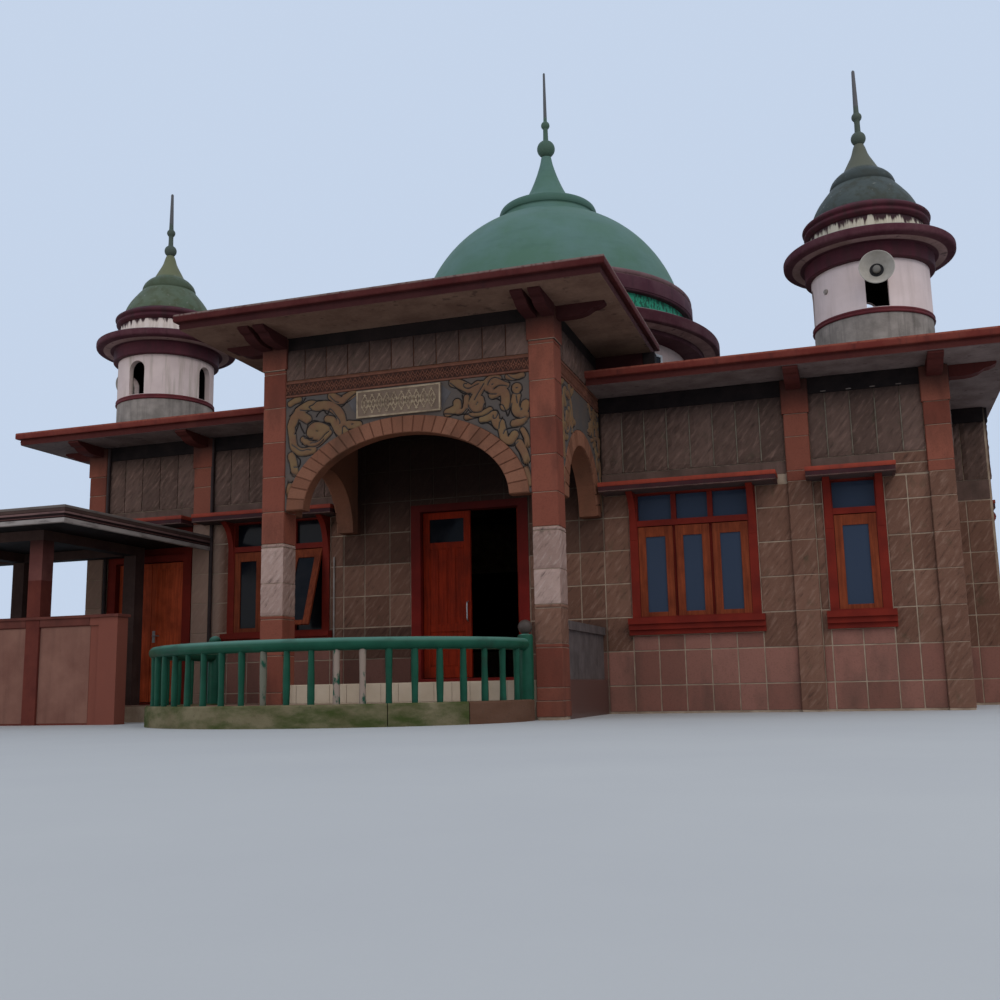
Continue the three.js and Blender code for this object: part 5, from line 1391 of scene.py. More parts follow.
def make_rail_paint():
    """Glossy green, dusty and lighter on top as a painted highlight, and bare where the tone is high and the
    noise agrees. The right newel's ball has lost most of its paint."""
    f = Finish("rail_paint", roughness=0.35)
    cloud = f.noise(6, detail=5)
    flake = f.noise(11, stretch=(1, 1, 0.5), detail=6)
    colour = f.mix(f.steps(cloud, 0.35, 0.7), (0.008, 0.060, 0.033), (0.014, 0.085, 0.048))
    # Tops lighter: painted highlight, with dust.
    colour = f.mix(f.steps(f.normal(2), 0.25, 0.9, 0, 0.8), colour, (0.13, 0.27, 0.21))
    dirt = f.noise(4, stretch=(1, 1, 2), detail=6)
    colour = f.mix(f.steps(dirt, 0.56, 0.72, 0, 0.5), colour, (0.02, 0.032, 0.02))
    ball = f.times(f.steps(f.z, 0.862, 0.875), f.steps(f.x, 0.9, 1.0))
    colour = f.mix(f.times(ball, f.steps(flake, 0.38, 0.44)), colour, (0.075, 0.055, 0.045))
    bare = f.times(f.steps(flake, 0.40, 0.47), f.steps(f.tone(), 0.85, 0.95))
    colour = f.mix(bare, colour, (0.30, 0.22, 0.17))
    return f.done(colour, cloud, 0.0025)


RAIL_PAINT = make_rail_paint()
BARE_BALUSTERS = {14: 0.9, 17: 1.0, 18: 1.0}
rail = Heap()
line = terrace_line(120)
add_tube(rail, np.column_stack([line, np.full(len(line), RAIL_Z)]), RAIL_RADIUS, 16, 0.3)
length = np.linalg.norm(np.diff(terrace_line(400), axis=0), axis=1).sum()
count = round(length / BALUSTER_PITCH)
for number, (x, y) in enumerate(terrace_line(count + 1)[1:-1]):
    height = np.linspace(KERB_TOP - 0.004, RAIL_Z, 7)
    swell = 0.032 + 0.003 * np.cos(height * 9 + number)
    tone = BARE_BALUSTERS.get(number, 0.3)
    add_tube(rail, np.column_stack([np.full(7, x), np.full(7, y), height]), swell, 10, tone, up=(1, 0, 0))
NEWEL = [(0, KERB_TOP), (0.078, KERB_TOP), (0.078, 0.84), (0.072, 0.855), (0.045, 0.862),
         *arc((0, 0.934), 0.074, -66, 90, 14)]
for x, y in (line[0], line[-1]):
    points = turned_points(NEWEL, (x, y), 28)
    rail.add(points, grid_faces(len(NEWEL), 28, ring_columns=True), 0.2)
rail.make("green_railing", RAIL_PAINT, "rail_green", smooth=45, stands_for=("terrace_railing",))

# %% [markdown]
# The kerb is cast concrete, green with algae. Near the newel two narrow joints cut off its last blocks,
# and the very last is reddish. The porch has large beige tiles, the terrace small red-brown ones.

# %% Kerb and floors
def make_kerb_finish():
    f = Finish("kerb_concrete", roughness=0.95)
    cloud = f.noise(3.4, detail=6)
    algae = f.noise(2.2, stretch=(1, 1, 2.5), detail=6)
    pits = f.noise(38, detail=5)
    colour = f.mix(f.steps(cloud, 0.35, 0.7), (0.215, 0.175, 0.10), (0.145, 0.115, 0.06))
    colour = f.mix(f.steps(algae, 0.40, 0.62, 0, 0.9), colour, (0.042, 0.060, 0.012))
    colour = f.mix(f.steps(f.tone(), 0.7, 0.8, 0, 0.85), colour, (0.13, 0.055, 0.036))
    colour = f.mix(f.steps(pits, 0.6, 0.75, 0, 0.6), colour, (0.04, 0.038, 0.028))
    return f.done(colour, f.plus(pits, cloud), 0.006)


KERB = make_kerb_finish()
KERB_SECTION = [(-0.078, 0.0), (-0.078, 0.198), (-0.066, 0.21), (0.064, 0.212), (0.080, 0.196),
                (0.083, 0.1), (0.081, 0.0)]
KERB_BLOCKS = ((0, 148, 0), (149, 171, 0), (172, 200, 1))
JOINT_CLOSED = 0.8
kerb = Heap()
whole = terrace_line(201, tail=-5.572)
normals = np.gradient(whole, axis=0)
normals = np.stack([normals[:, 1], -normals[:, 0]], -1) / np.linalg.norm(normals, axis=1, keepdims=True)
for start, stop, tone in KERB_BLOCKS:
    path = whole[start:stop + 1].copy()
    if start:
        path[0] += JOINT_CLOSED * (whole[start - 1] - whole[start])
    kerb.add(carried_along(KERB_SECTION, path, normals[start:stop + 1]),
             capped_faces(len(path), len(KERB_SECTION)), tone)
kerb.make("curved_kerb", KERB, "concrete", smooth=40, stands_for=("terrace_kerb",))


def make_floor_tile():
    """Glazed and beige on top and in front; the slab's flanks are bare and red-brown."""
    f = Finish("beige_tile", roughness=0.4, Coat_Weight=0.2)
    cloud = f.noise(3, detail=6)
    colour = f.mix(f.steps(cloud, 0.35, 0.68), (0.56, 0.44, 0.31), (0.46, 0.35, 0.24))
    flank = f.steps(f.math("ABSOLUTE", f.normal(0)), 0.7, 0.8)
    colour = f.mix(flank, colour, (0.10, 0.048, 0.038))
    return f.done(colour, f.noise(70, detail=3), 0.0006)


FLOOR_TILE = make_floor_tile()
TERRACOTTA = make_tile_stone("terrace_tile", (0.22, 0.11, 0.07), (0.34, 0.20, 0.14), (0.10, 0.07, 0.05))
porch_tiles = Heap()
TOP = plane((0, 0, 0), (1, 0, 0), (0, 1, 0))


def on_level(z):
    """A level plane at that height; depth is measured upwards."""
    return lambda a, b, depth: TOP(a, b, np.asarray(depth) + z)


def tile_rows(heap, place, a0, a1, b0, b1, pitch, joint, lift):
    rows = even_cuts(b0, b1, pitch)[1:-1]
    add_plates(heap, place, brick_grid(a0, a1, b0, b1, pitch, rows, joint), lift, 0.002)


PORCH_FLOOR, riser = on_level(0.40), facing("front", -6.27)
for field in ((-1.45, 1.45, -6.27, -6.09), (-1.48, 1.48, -6.08, -4.30)):
    tile_rows(porch_tiles, PORCH_FLOOR, *field, 0.30, 0.005, 0.004)
add_plates(porch_tiles, riser, brick_grid(-1.715, 1.715, 0.005, 0.398, 0.205, [0.2], 0.005), 0.005, 0.002)
porch_tiles.make("beige_floor_tiles", FLOOR_TILE, "floor_tile")

# %% [markdown]
# The rest of the terrace: small red-brown tiles, kept only where all four corners lie inside the kerb.

# %% Terrace tiles
TERRACE_FLOOR, KERB_HALF = on_level(0.19), 0.085
terrace_tiles = Heap()
quads = brick_grid(-2.70, 1.40, -7.94, -6.28, 0.2, np.arange(-7.74, -6.3, 0.2), 0.006)
reach = ((quads[..., 0] - TERRACE["x"]) / (TERRACE["a"] - KERB_HALF)) ** 2
reach = reach + (np.minimum(quads[..., 1] - TERRACE["y"], 0) / (TERRACE["b"] - KERB_HALF)) ** 2
add_plates(terrace_tiles, TERRACE_FLOOR, quads[(reach < 1).all(axis=1)], 0.005, 0.002)
for field in ((-2.67, -1.75, -6.27, -5.58), (-5.36, -4.0, -5.565, -4.335), (-3.98, -1.75, -5.565, -4.335)):
    tile_rows(terrace_tiles, TERRACE_FLOOR, *field, 0.2, 0.006, 0.005)
terrace_tiles.make("terrace_floor_tiles", TERRACOTTA, "floor_tile")

# %% [markdown]
# Between the hoods and the tall plates runs a plain pinkish band. Over the plates, up to the soffit, a
# near-black sheet stands for painted shade and soot, and the painted shade and soot fade out on the plates'
# upper ends. Lime has run out at four places, and the joints between the right wing's tall plates are pale.
# Near-black blocks of the same finish, as painted shade, cover the ends of the wall that carries the
# portico roof's rear.

# %% Plain band, band of painted shade and soot, lime spots and pale joints
PLAIN_BAND = make_plain("plain_band", (0.17, 0.10, 0.078), (0.11, 0.066, 0.05), 0.9, 5, 0.002, 0.4)
SHADE_AND_SOOT = make_plain("soot", (0.012, 0.009, 0.009), (0.022, 0.015, 0.014), 0.95, 6, 0.002)
LIME = make_plain("lime_spot", (0.22, 0.18, 0.155), (0.12, 0.09, 0.075), 0.9, 20, 0.002)
PALE_JOINT = make_plain("pale_joint", (0.26, 0.22, 0.16), (0.16, 0.125, 0.09), 0.9, 9, 0.002)
plain_bands, soot, lime, pale_joints = Heap(), Heap(), Heap(), Heap()
BANDS = [(FRONT, a0, a1) for a0, a1 in FRONT_BAYS]
BANDS += [(LEFT_FRONT, 1.99, 4.25), (RIGHT_FRONT, -4.25, -1.99), (LEFT, -4.25, 1.95), (RIGHT, -1.95, 4.25),
          (STEP, -6.3, -5.71), (STEP, 5.71, 6.3), (REAR, -6.3, 6.3)]
for place, a0, a1 in BANDS:
    low = 2.707 if place is FRONT else 2.60
    stop = 5.08 if (place is FRONT and a0 > 4) else a1
    add_plates(plain_bands, place, rectangles(a0, stop, low, LEDGE_TOP - 0.008), 0.006, 0.002)
    # Near-black sheet under the soffit: painted shade and soot.
    add_plates(soot, place, rectangles(a0, a1, PLATES_TOP - 0.005, 3.806), 0.036, 0.004)
for a in (4.37, 4.65, 4.91, 5.19):
    add_rough_plates(lime, FRONT, rectangles(a - 0.03, a + 0.04, 3.622, 3.642), 0.045, 0.006, 0.008)
for a in (*even_cuts(*FRONT_BAYS[2], PLATE_PITCH)[1:-1], *LAST_BAY_CUTS):
    add_plates(pale_joints, FRONT, rectangles(a - 0.005, a + 0.005, 2.87, 3.50), 0.026, 0.002)
# Near-black blocks at the carrier wall's ends: painted shade.
for side in (-1, 1):
    add_block(soot, *sorted((2.29 * side, 2.44 * side)), -4.27, -4.12, 3.975, 4.338)
plain_bands.make("plain_bands", PLAIN_BAND, "wall_stone")
soot.make("shade_and_soot_bands", SHADE_AND_SOOT, "wall_stone")
lime.make("lime_spots", LIME, "wall_stone")
pale_joints.make("pale_joints", PALE_JOINT, "wall_stone")

# %% [markdown]
# The carving on both sides of the arch is one sheet of fine points. Leaves are strokes: a point nearer to a
# stroke's line than its half width is raised. Engraved lines, and a leaf's outline, are narrow grooves. All
# come from the smallest distance to the strokes' segments, which numpy finds for all points at once.

# %% Strokes of the carving
LEFT_LEAVES = [
    (0.055, [(-1.36, 3.33), (-1.31, 3.43), (-1.24, 3.48), (-1.14, 3.52), (-1.05, 3.5), (-0.96, 3.5),
     (-0.88, 3.48), (-0.8, 3.42), (-0.76, 3.36), (-0.74, 3.28), (-0.71, 3.2)]),
    (0.035, [(-1.39, 3.56), (-1.34, 3.585), (-1.28, 3.6)]),
    (0.05, [(-1.26, 3.42), (-1.2, 3.38), (-1.17, 3.36)]),
    (0.04, [(-0.92, 3.34), (-0.86, 3.32), (-0.82, 3.25), (-0.78, 3.17), (-0.75, 3.12)]),
    (0.048, [(-0.54, 3.235), (-0.6, 3.24), (-0.66, 3.25)]),
    (0.05, [(-0.94, 3.22), (-1.02, 3.26), (-1.09, 3.26), (-1.13, 3.2), (-1.06, 3.16), (-0.98, 3.17)]),
    (0.035, [(-1.22, 3.13), (-1.16, 3.08), (-1.06, 3.06), (-0.98, 3.11), (-0.9, 3.18)]),
    (0.045, [(-1.38, 3.3), (-1.36, 3.17), (-1.34, 3.06), (-1.28, 3.0), (-1.2, 2.985), (-1.1, 3.0)]),
    (0.045, [(-1.37, 2.95), (-1.345, 2.88), (-1.33, 2.8), (-1.32, 2.76)]),
    (0.048, [(-0.87, 3.6), (-0.81, 3.56), (-0.75, 3.54), (-0.68, 3.565), (-0.6, 3.6)]),
    (0.03, [(-1.38, 2.62), (-1.4, 2.55), (-1.38, 2.48)])]
LEFT_LINES = [
    [(-1.2, 3.61), (-1.24, 3.56), (-1.3, 3.52), (-1.33, 3.5), (-1.35, 3.45), (-1.4, 3.42)],
    [(-0.99, 3.56), (-1.05, 3.56), (-1.1, 3.52), (-1.15, 3.5), (-1.12, 3.47)],
    [(-1.26, 3.475), (-1.21, 3.462), (-1.16, 3.46)],
    [(-1.06, 3.38), (-1.03, 3.42), (-0.97, 3.45), (-0.95, 3.42), (-0.92, 3.4), (-0.89, 3.45),
     (-0.85, 3.42), (-0.8, 3.35), (-0.765, 3.3), (-0.765, 3.27)],
    [(-1.19, 3.2), (-1.17, 3.27), (-1.16, 3.31), (-1.1, 3.335), (-1.04, 3.325)],
    [(-0.98, 3.31), (-0.92, 3.29), (-0.88, 3.26)],
    [(-0.84, 3.18), (-0.8, 3.14), (-0.76, 3.11), (-0.735, 3.13), (-0.73, 3.22), (-0.7, 3.235),
     (-0.67, 3.2), (-0.63, 3.17), (-0.59, 3.17), (-0.51, 3.2)], [(-0.62, 3.25), (-0.6, 3.25)],
    [(-0.89, 3.6), (-0.86, 3.565), (-0.82, 3.53), (-0.78, 3.515)],
    [(-0.56, 3.6), (-0.62, 3.565), (-0.68, 3.52), (-0.72, 3.48), (-0.75, 3.465)],
    [(-0.76, 3.58), (-0.74, 3.58)], [(-1.22, 3.17), (-1.19, 3.14), (-1.1, 3.135)],
    [(-1.13, 3.08), (-1.06, 3.085), (-1.02, 3.1), (-0.98, 3.13), (-0.94, 3.17), (-0.9, 3.195)],
    [(-1.18, 3.06), (-1.14, 3.04), (-1.08, 3.035), (-1.03, 3.05), (-0.99, 3.08), (-0.96, 3.11)],
    [(-1.235, 3.085), (-1.235, 3.075)],
    [(-1.36, 3.08), (-1.31, 3.045), (-1.26, 3.01), (-1.22, 3.0), (-1.17, 3.01), (-1.12, 3.0)],
    [(-1.33, 3.2), (-1.3, 3.27), (-1.275, 3.33), (-1.25, 3.27), (-1.21, 3.2)],
    [(-1.34, 2.99), (-1.3, 2.94), (-1.26, 2.9), (-1.26, 2.85), (-1.28, 2.82), (-1.33, 2.82)],
    [(-1.38, 2.76), (-1.34, 2.74), (-1.3, 2.72)], [(-1.41, 2.66), (-1.38, 2.64), (-1.35, 2.66)],
    [(-1.42, 2.52), (-1.39, 2.5), (-1.37, 2.53)]]
RIGHT_LEAVES = [
    (0.05, [(0.59, 3.6), (0.66, 3.575), (0.74, 3.53), (0.8, 3.5), (0.87, 3.54)]),
    (0.045, [(0.92, 3.54), (0.87, 3.46), (0.82, 3.38), (0.8, 3.31), (0.85, 3.28), (0.9, 3.31),
     (0.89, 3.38)]), (0.045, [(0.52, 3.27), (0.58, 3.29), (0.63, 3.32), (0.63, 3.37)]),
    (0.03, [(0.74, 3.42), (0.73, 3.34), (0.71, 3.28), (0.64, 3.262)]),
    (0.045, [(0.92, 3.16), (0.98, 3.175), (1.05, 3.195), (1.06, 3.14), (1.08, 3.08)]),
    (0.032, [(0.74, 3.2), (0.82, 3.215), (0.92, 3.225), (1.0, 3.255)]),
    (0.038, [(1.02, 3.46), (0.98, 3.5), (0.97, 3.56), (1.03, 3.6), (1.1, 3.59)]),
    (0.045, [(1.03, 3.53), (1.1, 3.54), (1.18, 3.515)]),
    (0.05, [(1.04, 3.42), (1.12, 3.45), (1.17, 3.42), (1.18, 3.35), (1.17, 3.28)]),
    (0.055, [(1.305, 3.465), (1.306, 3.465)]), (0.03, [(1.21, 3.6), (1.28, 3.585), (1.37, 3.6)]),
    (0.048, [(1.3, 3.38), (1.28, 3.28), (1.31, 3.2), (1.37, 3.2), (1.4, 3.28)]),
    (0.045, [(1.12, 3.1), (1.14, 3.0), (1.16, 2.92), (1.22, 2.9), (1.27, 2.96)]),
    (0.04, [(1.27, 3.08), (1.35, 3.1), (1.4, 3.16)]), (0.045, [(1.32, 2.86), (1.36, 2.78), (1.39, 2.68)]),
    (0.03, [(1.36, 3.0), (1.4, 2.92), (1.41, 2.84)]), (0.03, [(1.39, 2.58), (1.41, 2.5), (1.42, 2.42)])]
RIGHT_LINES = [
    [(0.55, 3.6), (0.62, 3.54), (0.67, 3.49), (0.72, 3.46), (0.79, 3.46)],
    [(0.745, 3.57), (0.72, 3.575), (0.71, 3.55), (0.73, 3.525), (0.77, 3.515), (0.81, 3.53),
     (0.88, 3.555)], [(0.94, 3.55), (0.9, 3.49), (0.86, 3.43), (0.83, 3.38)],
    [(0.865, 3.345), (0.867, 3.352)],
    [(0.94, 3.33), (0.93, 3.29), (0.91, 3.25), (0.86, 3.24), (0.81, 3.25), (0.77, 3.3), (0.76, 3.33)],
    [(0.69, 3.45), (0.7, 3.38), (0.69, 3.32)],
    [(0.48, 3.26), (0.56, 3.25), (0.65, 3.235), (0.7, 3.25), (0.74, 3.29)],
    [(0.7, 3.235), (0.76, 3.225), (0.8, 3.195), (0.87, 3.19), (0.93, 3.195), (0.99, 3.22), (1.03, 3.245),
     (1.08, 3.24), (1.09, 3.21), (1.07, 3.16), (1.04, 3.16), (1.04, 3.19)],
    [(0.89, 3.12), (0.95, 3.12), (1.0, 3.1), (1.04, 3.06), (1.07, 3.03)],
    [(1.14, 3.16), (1.11, 3.1), (1.1, 3.04)],
    [(0.985, 3.53), (0.99, 3.55), (1.02, 3.59), (1.07, 3.605), (1.13, 3.58), (1.18, 3.55), (1.23, 3.53)],
    [(1.03, 3.53), (1.045, 3.535)], [(0.97, 3.46), (1.01, 3.43), (1.08, 3.42)],
    [(1.05, 3.48), (1.09, 3.505), (1.14, 3.51), (1.2, 3.495)],
    [(1.04, 3.37), (1.08, 3.37), (1.12, 3.345)],
    [(1.11, 3.3), (1.15, 3.29), (1.18, 3.22), (1.2, 3.17), (1.23, 3.25)],
    [(1.2, 3.63), (1.25, 3.58), (1.32, 3.555), (1.38, 3.57)],
    [(1.25, 3.49), (1.25, 3.44), (1.28, 3.405), (1.33, 3.4), (1.365, 3.44)],
    [(1.3, 3.465), (1.315, 3.465)], [(1.345, 3.22), (1.36, 3.225), (1.35, 3.24)],
    [(1.3, 3.38), (1.31, 3.3)], [(1.25, 3.3), (1.24, 3.22), (1.27, 3.16), (1.33, 3.13), (1.4, 3.14)],
    [(1.16, 2.86), (1.25, 2.84), (1.31, 2.88)], [(1.15, 2.98), (1.17, 3.02), (1.22, 3.035), (1.31, 3.04)],
    [(1.2, 2.97), (1.215, 2.97)], [(1.28, 2.82), (1.33, 2.74), (1.36, 2.66)], [(1.33, 3.0), (1.37, 2.9)]]
print("leaves:", len(LEFT_LEAVES), len(RIGHT_LEAVES), "lines:", len(LEFT_LINES), len(RIGHT_LINES))

# %% [markdown]
# The strokes are listed points, joined by smooth curves. The same drawing serves the front panel and,
# drawn in, both side arches.

# %% Carved foliage
def distance_to(points, line):
    """Smallest distance from each point to the segments of a line; t is the foot's place on a segment."""
    line = np.asarray(line, float)
    start, way = line[:-1], np.diff(line, axis=0)
    gap = points[:, None, :] - start[None]
    t = np.clip((gap * way).sum(-1) / np.maximum((way ** 2).sum(-1), 1e-12), 0, 1)
    return np.linalg.norm(gap - t[..., None] * way, axis=-1).min(1)


def add_carving(place, a0, a1, centre, outer, leaves, lines, columns, rows):
    """A sheet between the arch's outer ellipse and the frieze, over a0 to a1. A leaf's section is half an
    ellipse; a groove's is exp(-(distance / width) squared)."""
    a = np.linspace(a0, a1, columns)
    low = ARCH_SPRING + outer[1] * np.sqrt(np.clip(1 - ((a - centre) / outer[0]) ** 2, 0, None))
    share = np.linspace(0, 1, rows)[:, None]
    b = low[None, :] * (1 - share) + (FRIEZE_LOW - 0.002) * share
    flat = np.stack([np.broadcast_to(a, b.shape), b], -1).reshape(-1, 2)
    leaf, beyond = np.zeros(len(flat)), np.ones(len(flat))
    for half, line in leaves:
        away = distance_to(flat, flowing(line, 6 * len(line)))
        leaf = np.maximum(leaf, np.sqrt(np.clip(1 - (away / half) ** 2, 0, 1)))
        beyond = np.minimum(beyond, away - half)
    groove = 0.85 * np.exp(-((beyond - 0.005) / 0.006) ** 2)
    for line in lines:
        away = distance_to(flat, flowing(line, 5 * len(line)))
        groove = np.maximum(groove, np.exp(-(away / 0.0085) ** 2))
    chisel = np.sin(flat[:, 0] * 90) * np.sin(flat[:, 1] * 80)
    depth = 0.016 + 0.014 * leaf - 0.013 * groove + 0.001 * chisel
    # The tone falls to nothing in the grooves and along the leaves' edges, which the finish paints near
    # black as shade.
    tone = (0.35 + 0.65 * np.minimum(leaf * 1.6, 1)) * (1 - groove)
    rim = rim_of(rows, columns)
    depth[rim] = -0.003
    carving.add(place(flat[:, 0], flat[:, 1], depth), grid_faces(rows, columns) + [rim], tone)


def narrowed(line, centre):
    """The same line drawn in towards a side arch."""
    return [(centre + a * SIDE_PANEL / FRONT_PANEL, b) for a, b in line]


def make_carving_paint():
    f = Finish("carving_paint", roughness=0.8)
    cloud = f.noise(4.5, detail=6)
    fine = f.noise(35, detail=4)
    gold = f.mix(f.steps(cloud, 0.38, 0.62), (0.19, 0.115, 0.055), (0.17, 0.085, 0.048))
    gold = f.mix(f.steps(f.noise(2.6, detail=4), 0.5, 0.68, 0, 0.7), gold, (0.21, 0.105, 0.048))
    ground_colour = f.mix(f.steps(cloud, 0.35, 0.65), (0.092, 0.078, 0.070), (0.115, 0.085, 0.068))
    colour = f.mix(f.steps(f.tone(), 0.40, 0.62), ground_colour, gold)
    # Near black in the grooves and along the leaves' edges: painted shade.
    colour = f.mix(f.steps(f.tone(), 0.10, 0.30, 0.92, 0), colour, (0.012, 0.008, 0.007))
    return f.done(colour, f.plus(fine, cloud), 0.002)


CARVING_PAINT = make_carving_paint()
FRONT_PANEL, SIDE_PANEL = 1.45, 0.9
carving = Heap()
leaves, lines = LEFT_LEAVES + RIGHT_LEAVES, LEFT_LINES + RIGHT_LINES
add_carving(PORTICO, -FRONT_PANEL, FRONT_PANEL, 0, ARCH_OUTER, leaves, lines, 400, 120)
for place, centre in SIDE_ARCHES:
    add_carving(place, centre - 0.903, centre + 0.897, centre, SIDE_OUTER,
                [(half * 0.8, narrowed(line, centre)) for half, line in leaves],
                [narrowed(line, centre) for line in lines], 190, 80)
carving.make("carved_foliage", CARVING_PAINT, "wall_stone", smooth=60)

# %% [markdown]
# The plaque over the arch is a grey-brown slab with a pale rim and a raised ornament of waves that cross,
# with small diamonds between. A blue-grey board with pointed ends stands behind it.

# %% Plaque
PLAQUE_STONE = make_plain("plaque_stone", (0.22, 0.15, 0.105), (0.14, 0.094, 0.066), 0.85, 9, 0.002)
PLAQUE_GOLD = make_plain("plaque_gold", (0.42, 0.31, 0.20), (0.24, 0.17, 0.11), 0.7, 12, 0.001)
PLAQUE_BOARD = make_plain("plaque_board", (0.12, 0.105, 0.10), (0.085, 0.072, 0.07), 0.85, 6, 0.001)
PLAQUE_FACE = plane((-0.05, -6.375, 0), (1, 0, 0))
ornament, board = Heap(), Heap()
half, low, high, rim = 0.5, 3.30, 3.61, 0.02
middle, wave_half = (low + high) / 2, 0.44


def border(a0, a1, b0, b1, width):
    """Limits of four strips round a rectangle: bottom and top in full, then the two sides."""
    return [(a0, a1, b0, b0 + width), (a0, a1, b1 - width, b1),
            (a0, a0 + width, b0 + width, b1 - width), (a1 - width, a1, b0 + width, b1 - width)]


for limits in border(-half, half, low, high, rim):
    add_plates(ornament, PLAQUE_FACE, rectangles(*limits), 0.006, 0.002)
along = np.linspace(-wave_half, wave_half, 180)
for reach, waves, start in ((0.085, 5, 0.0), (0.045, 10, 0.6)):
    for turn in (0, math.pi):
        wave = middle + reach * np.sin(along / wave_half * math.pi * waves + start + turn)
        strip(ornament, PLAQUE_FACE, np.column_stack([along, wave]), 0.0075, 0.008)
for a in np.linspace(-0.9, 0.9, 10) * wave_half:
    for b in (middle - 0.098, middle + 0.098):
        add_plates(ornament, PLAQUE_FACE, diamond(a, b, 0.02, 0.014), 0.008, 0.003)
for sign in (-1, 1):
    ends = [(sign * half, low + 0.03), (sign * 0.615, 3.5), (sign * half, high - rim), (sign * 0.42, middle)]
    quad = np.array([ends if sign > 0 else ends[::-1]])
    add_plates(board, plane((-0.05, -6.33, 0), (1, 0, 0)), quad, 0.02, 0.003)
ornament.make("plaque_ornament", PLAQUE_GOLD, "concrete", smooth=40)
board.make("plaque_board", PLAQUE_BOARD, "concrete")

# %% [markdown]
# The pavilion's roof edge shows its layers: a pale strip at the bottom that hangs below the soffit, dark
# red ribs with one pinkish line, and a grey-brown strip on top. Its low wall has pinkish panels between
# brick-red piers under a coping.

# %% Pavilion
PAVILION = {"left": -9.2, "right": -3.7, "front": -7.22, "rear": -4.322}
EDGE_LAYERS = ((2.289, (0.02, 0.009, 0.008)), (2.301, (0.09, 0.04, 0.035)), (2.313, (0.018, 0.008, 0.008)),
               (2.339, (0.17, 0.095, 0.085)), (2.364, (0.06, 0.02, 0.02)), (2.404, (0.15, 0.12, 0.105)))


def make_layered_edge():
    """One colour for each height; the steps between them are sharp."""
    f = Finish("layered_edge", roughness=0.88)
    cloud = f.noise(7, stretch=(0.5, 0.5, 2), detail=6)
    colour = f.mix(f.steps(cloud, 0.35, 0.7), (0.34, 0.29, 0.26), (0.24, 0.20, 0.18))
    for height, layer in EDGE_LAYERS:
        colour = f.mix(f.steps(f.z, height, height + 0.001), colour, layer)
    colour = f.mix(f.steps(cloud, 0.52, 0.72, 0, 0.6), colour, (0.025, 0.014, 0.014))
    return f.done(colour, cloud, 0.002)


LAYERED_EDGE = make_layered_edge()
# The pavilion roof's underside is near black: painted shade.
PAVILION_SLAB_WITH_SHADE = make_slab_finish("pavilion_slab_with_painted_shade", (0.06, 0.034, 0.028), (0.09, 0.052, 0.042),
                                 (0.008, 0.006, 0.006), (0.014, 0.010, 0.009))
layers = [(-0.06, 2.240), (0.0, 2.240), (0.0, 2.288), (-0.010, 2.290), (-0.010, 2.301), (-0.004, 2.303),
          (-0.004, 2.312), (-0.012, 2.314), (-0.012, 2.338), (-0.001, 2.341), (-0.001, 2.362),
          (-0.008, 2.365), (-0.008, 2.402), (0.004, 2.405), (0.006, 2.420), (0.002, 2.434), (-0.05, 2.436)]
cornice("pavilion_roof_edge", layers,
        [(PAVILION["left"], PAVILION["rear"]), (PAVILION["left"], PAVILION["front"]),
         (PAVILION["right"], PAVILION["front"]), (PAVILION["right"], PAVILION["rear"])],
        [(-1, 0), (-1, -1), (1, -1), (1, 0)], LAYERED_EDGE, "concrete", closed=False, smooth=20)
panels, copings = Heap(), Heap()
for left, right in ((-8.35, -6.70), (-6.50, -4.85), (-4.65, -3.94)):
    for face, a0, a1 in ((facing("front", -6.395), left, right),
                         (facing("rear", -6.265), -right, -left)):
        add_plates(panels, face, rectangles(a0, a1, 0.02, 1.135), 0.004, 0.002)
        add_plates(copings, face, rectangles(a0, a1, 1.142, 1.249), 0.031, 0.006)
add_plates(copings, on_level(1.25), rectangles(-8.57, -3.53, -6.45, -6.21), 0.012, 0.006, base=-0.02)
PINK_PANEL = make_plain("pink_panel", (0.25, 0.12, 0.085), (0.18, 0.078, 0.056), 0.9, 2.2, 0.0015, 0.25,
                        (0.06, 0.03, 0.025))
COPING = make_plain("coping_red", (0.15, 0.045, 0.032), (0.10, 0.03, 0.022), 0.85, 5, 0.002, 0.2)
panels.make("pavilion_wall_panels", PINK_PANEL, "pink_plaster")
copings.make("pavilion_copings", COPING, "red_stone")


def make_pier_red():
    """Brick red below half the columns' height, lighter and pinker above it, brighter on the end pier, and
    near the roof darkened by painted shade.
    """
    f = Finish("pier_red", roughness=0.88)
    cloud = f.noise(4, detail=6)
    low = f.mix(f.steps(cloud, 0.35, 0.7), (0.15, 0.036, 0.024), (0.10, 0.023, 0.017))
    low = f.mix(f.steps(f.x, -3.95, -3.93, 0, 0.8), low, (0.23, 0.075, 0.05))
    high = f.mix(f.steps(cloud, 0.35, 0.7), (0.21, 0.075, 0.06), (0.14, 0.046, 0.038))
    colour = f.mix(f.steps(f.z, 1.70, 1.705), low, high)
    # Painted shade under the pavilion roof.
    colour = f.mix(f.steps(f.z, 2.0, 2.2, 0, 0.8), colour, (0.018, 0.009, 0.008))
    return f.done(colour, cloud, 0.002)


PIER_RED = make_pier_red()
print("pavilion finishes:", LAYERED_EDGE.name, PAVILION_SLAB_WITH_SHADE.name, PIER_RED.name)

# %% [markdown]
# Dark downpipes run down beside the pilasters, and a thin white conduit beside the left window. The drum
# has one small window with a white frame, and a short pipe stub sticks out of the right turret's wall.

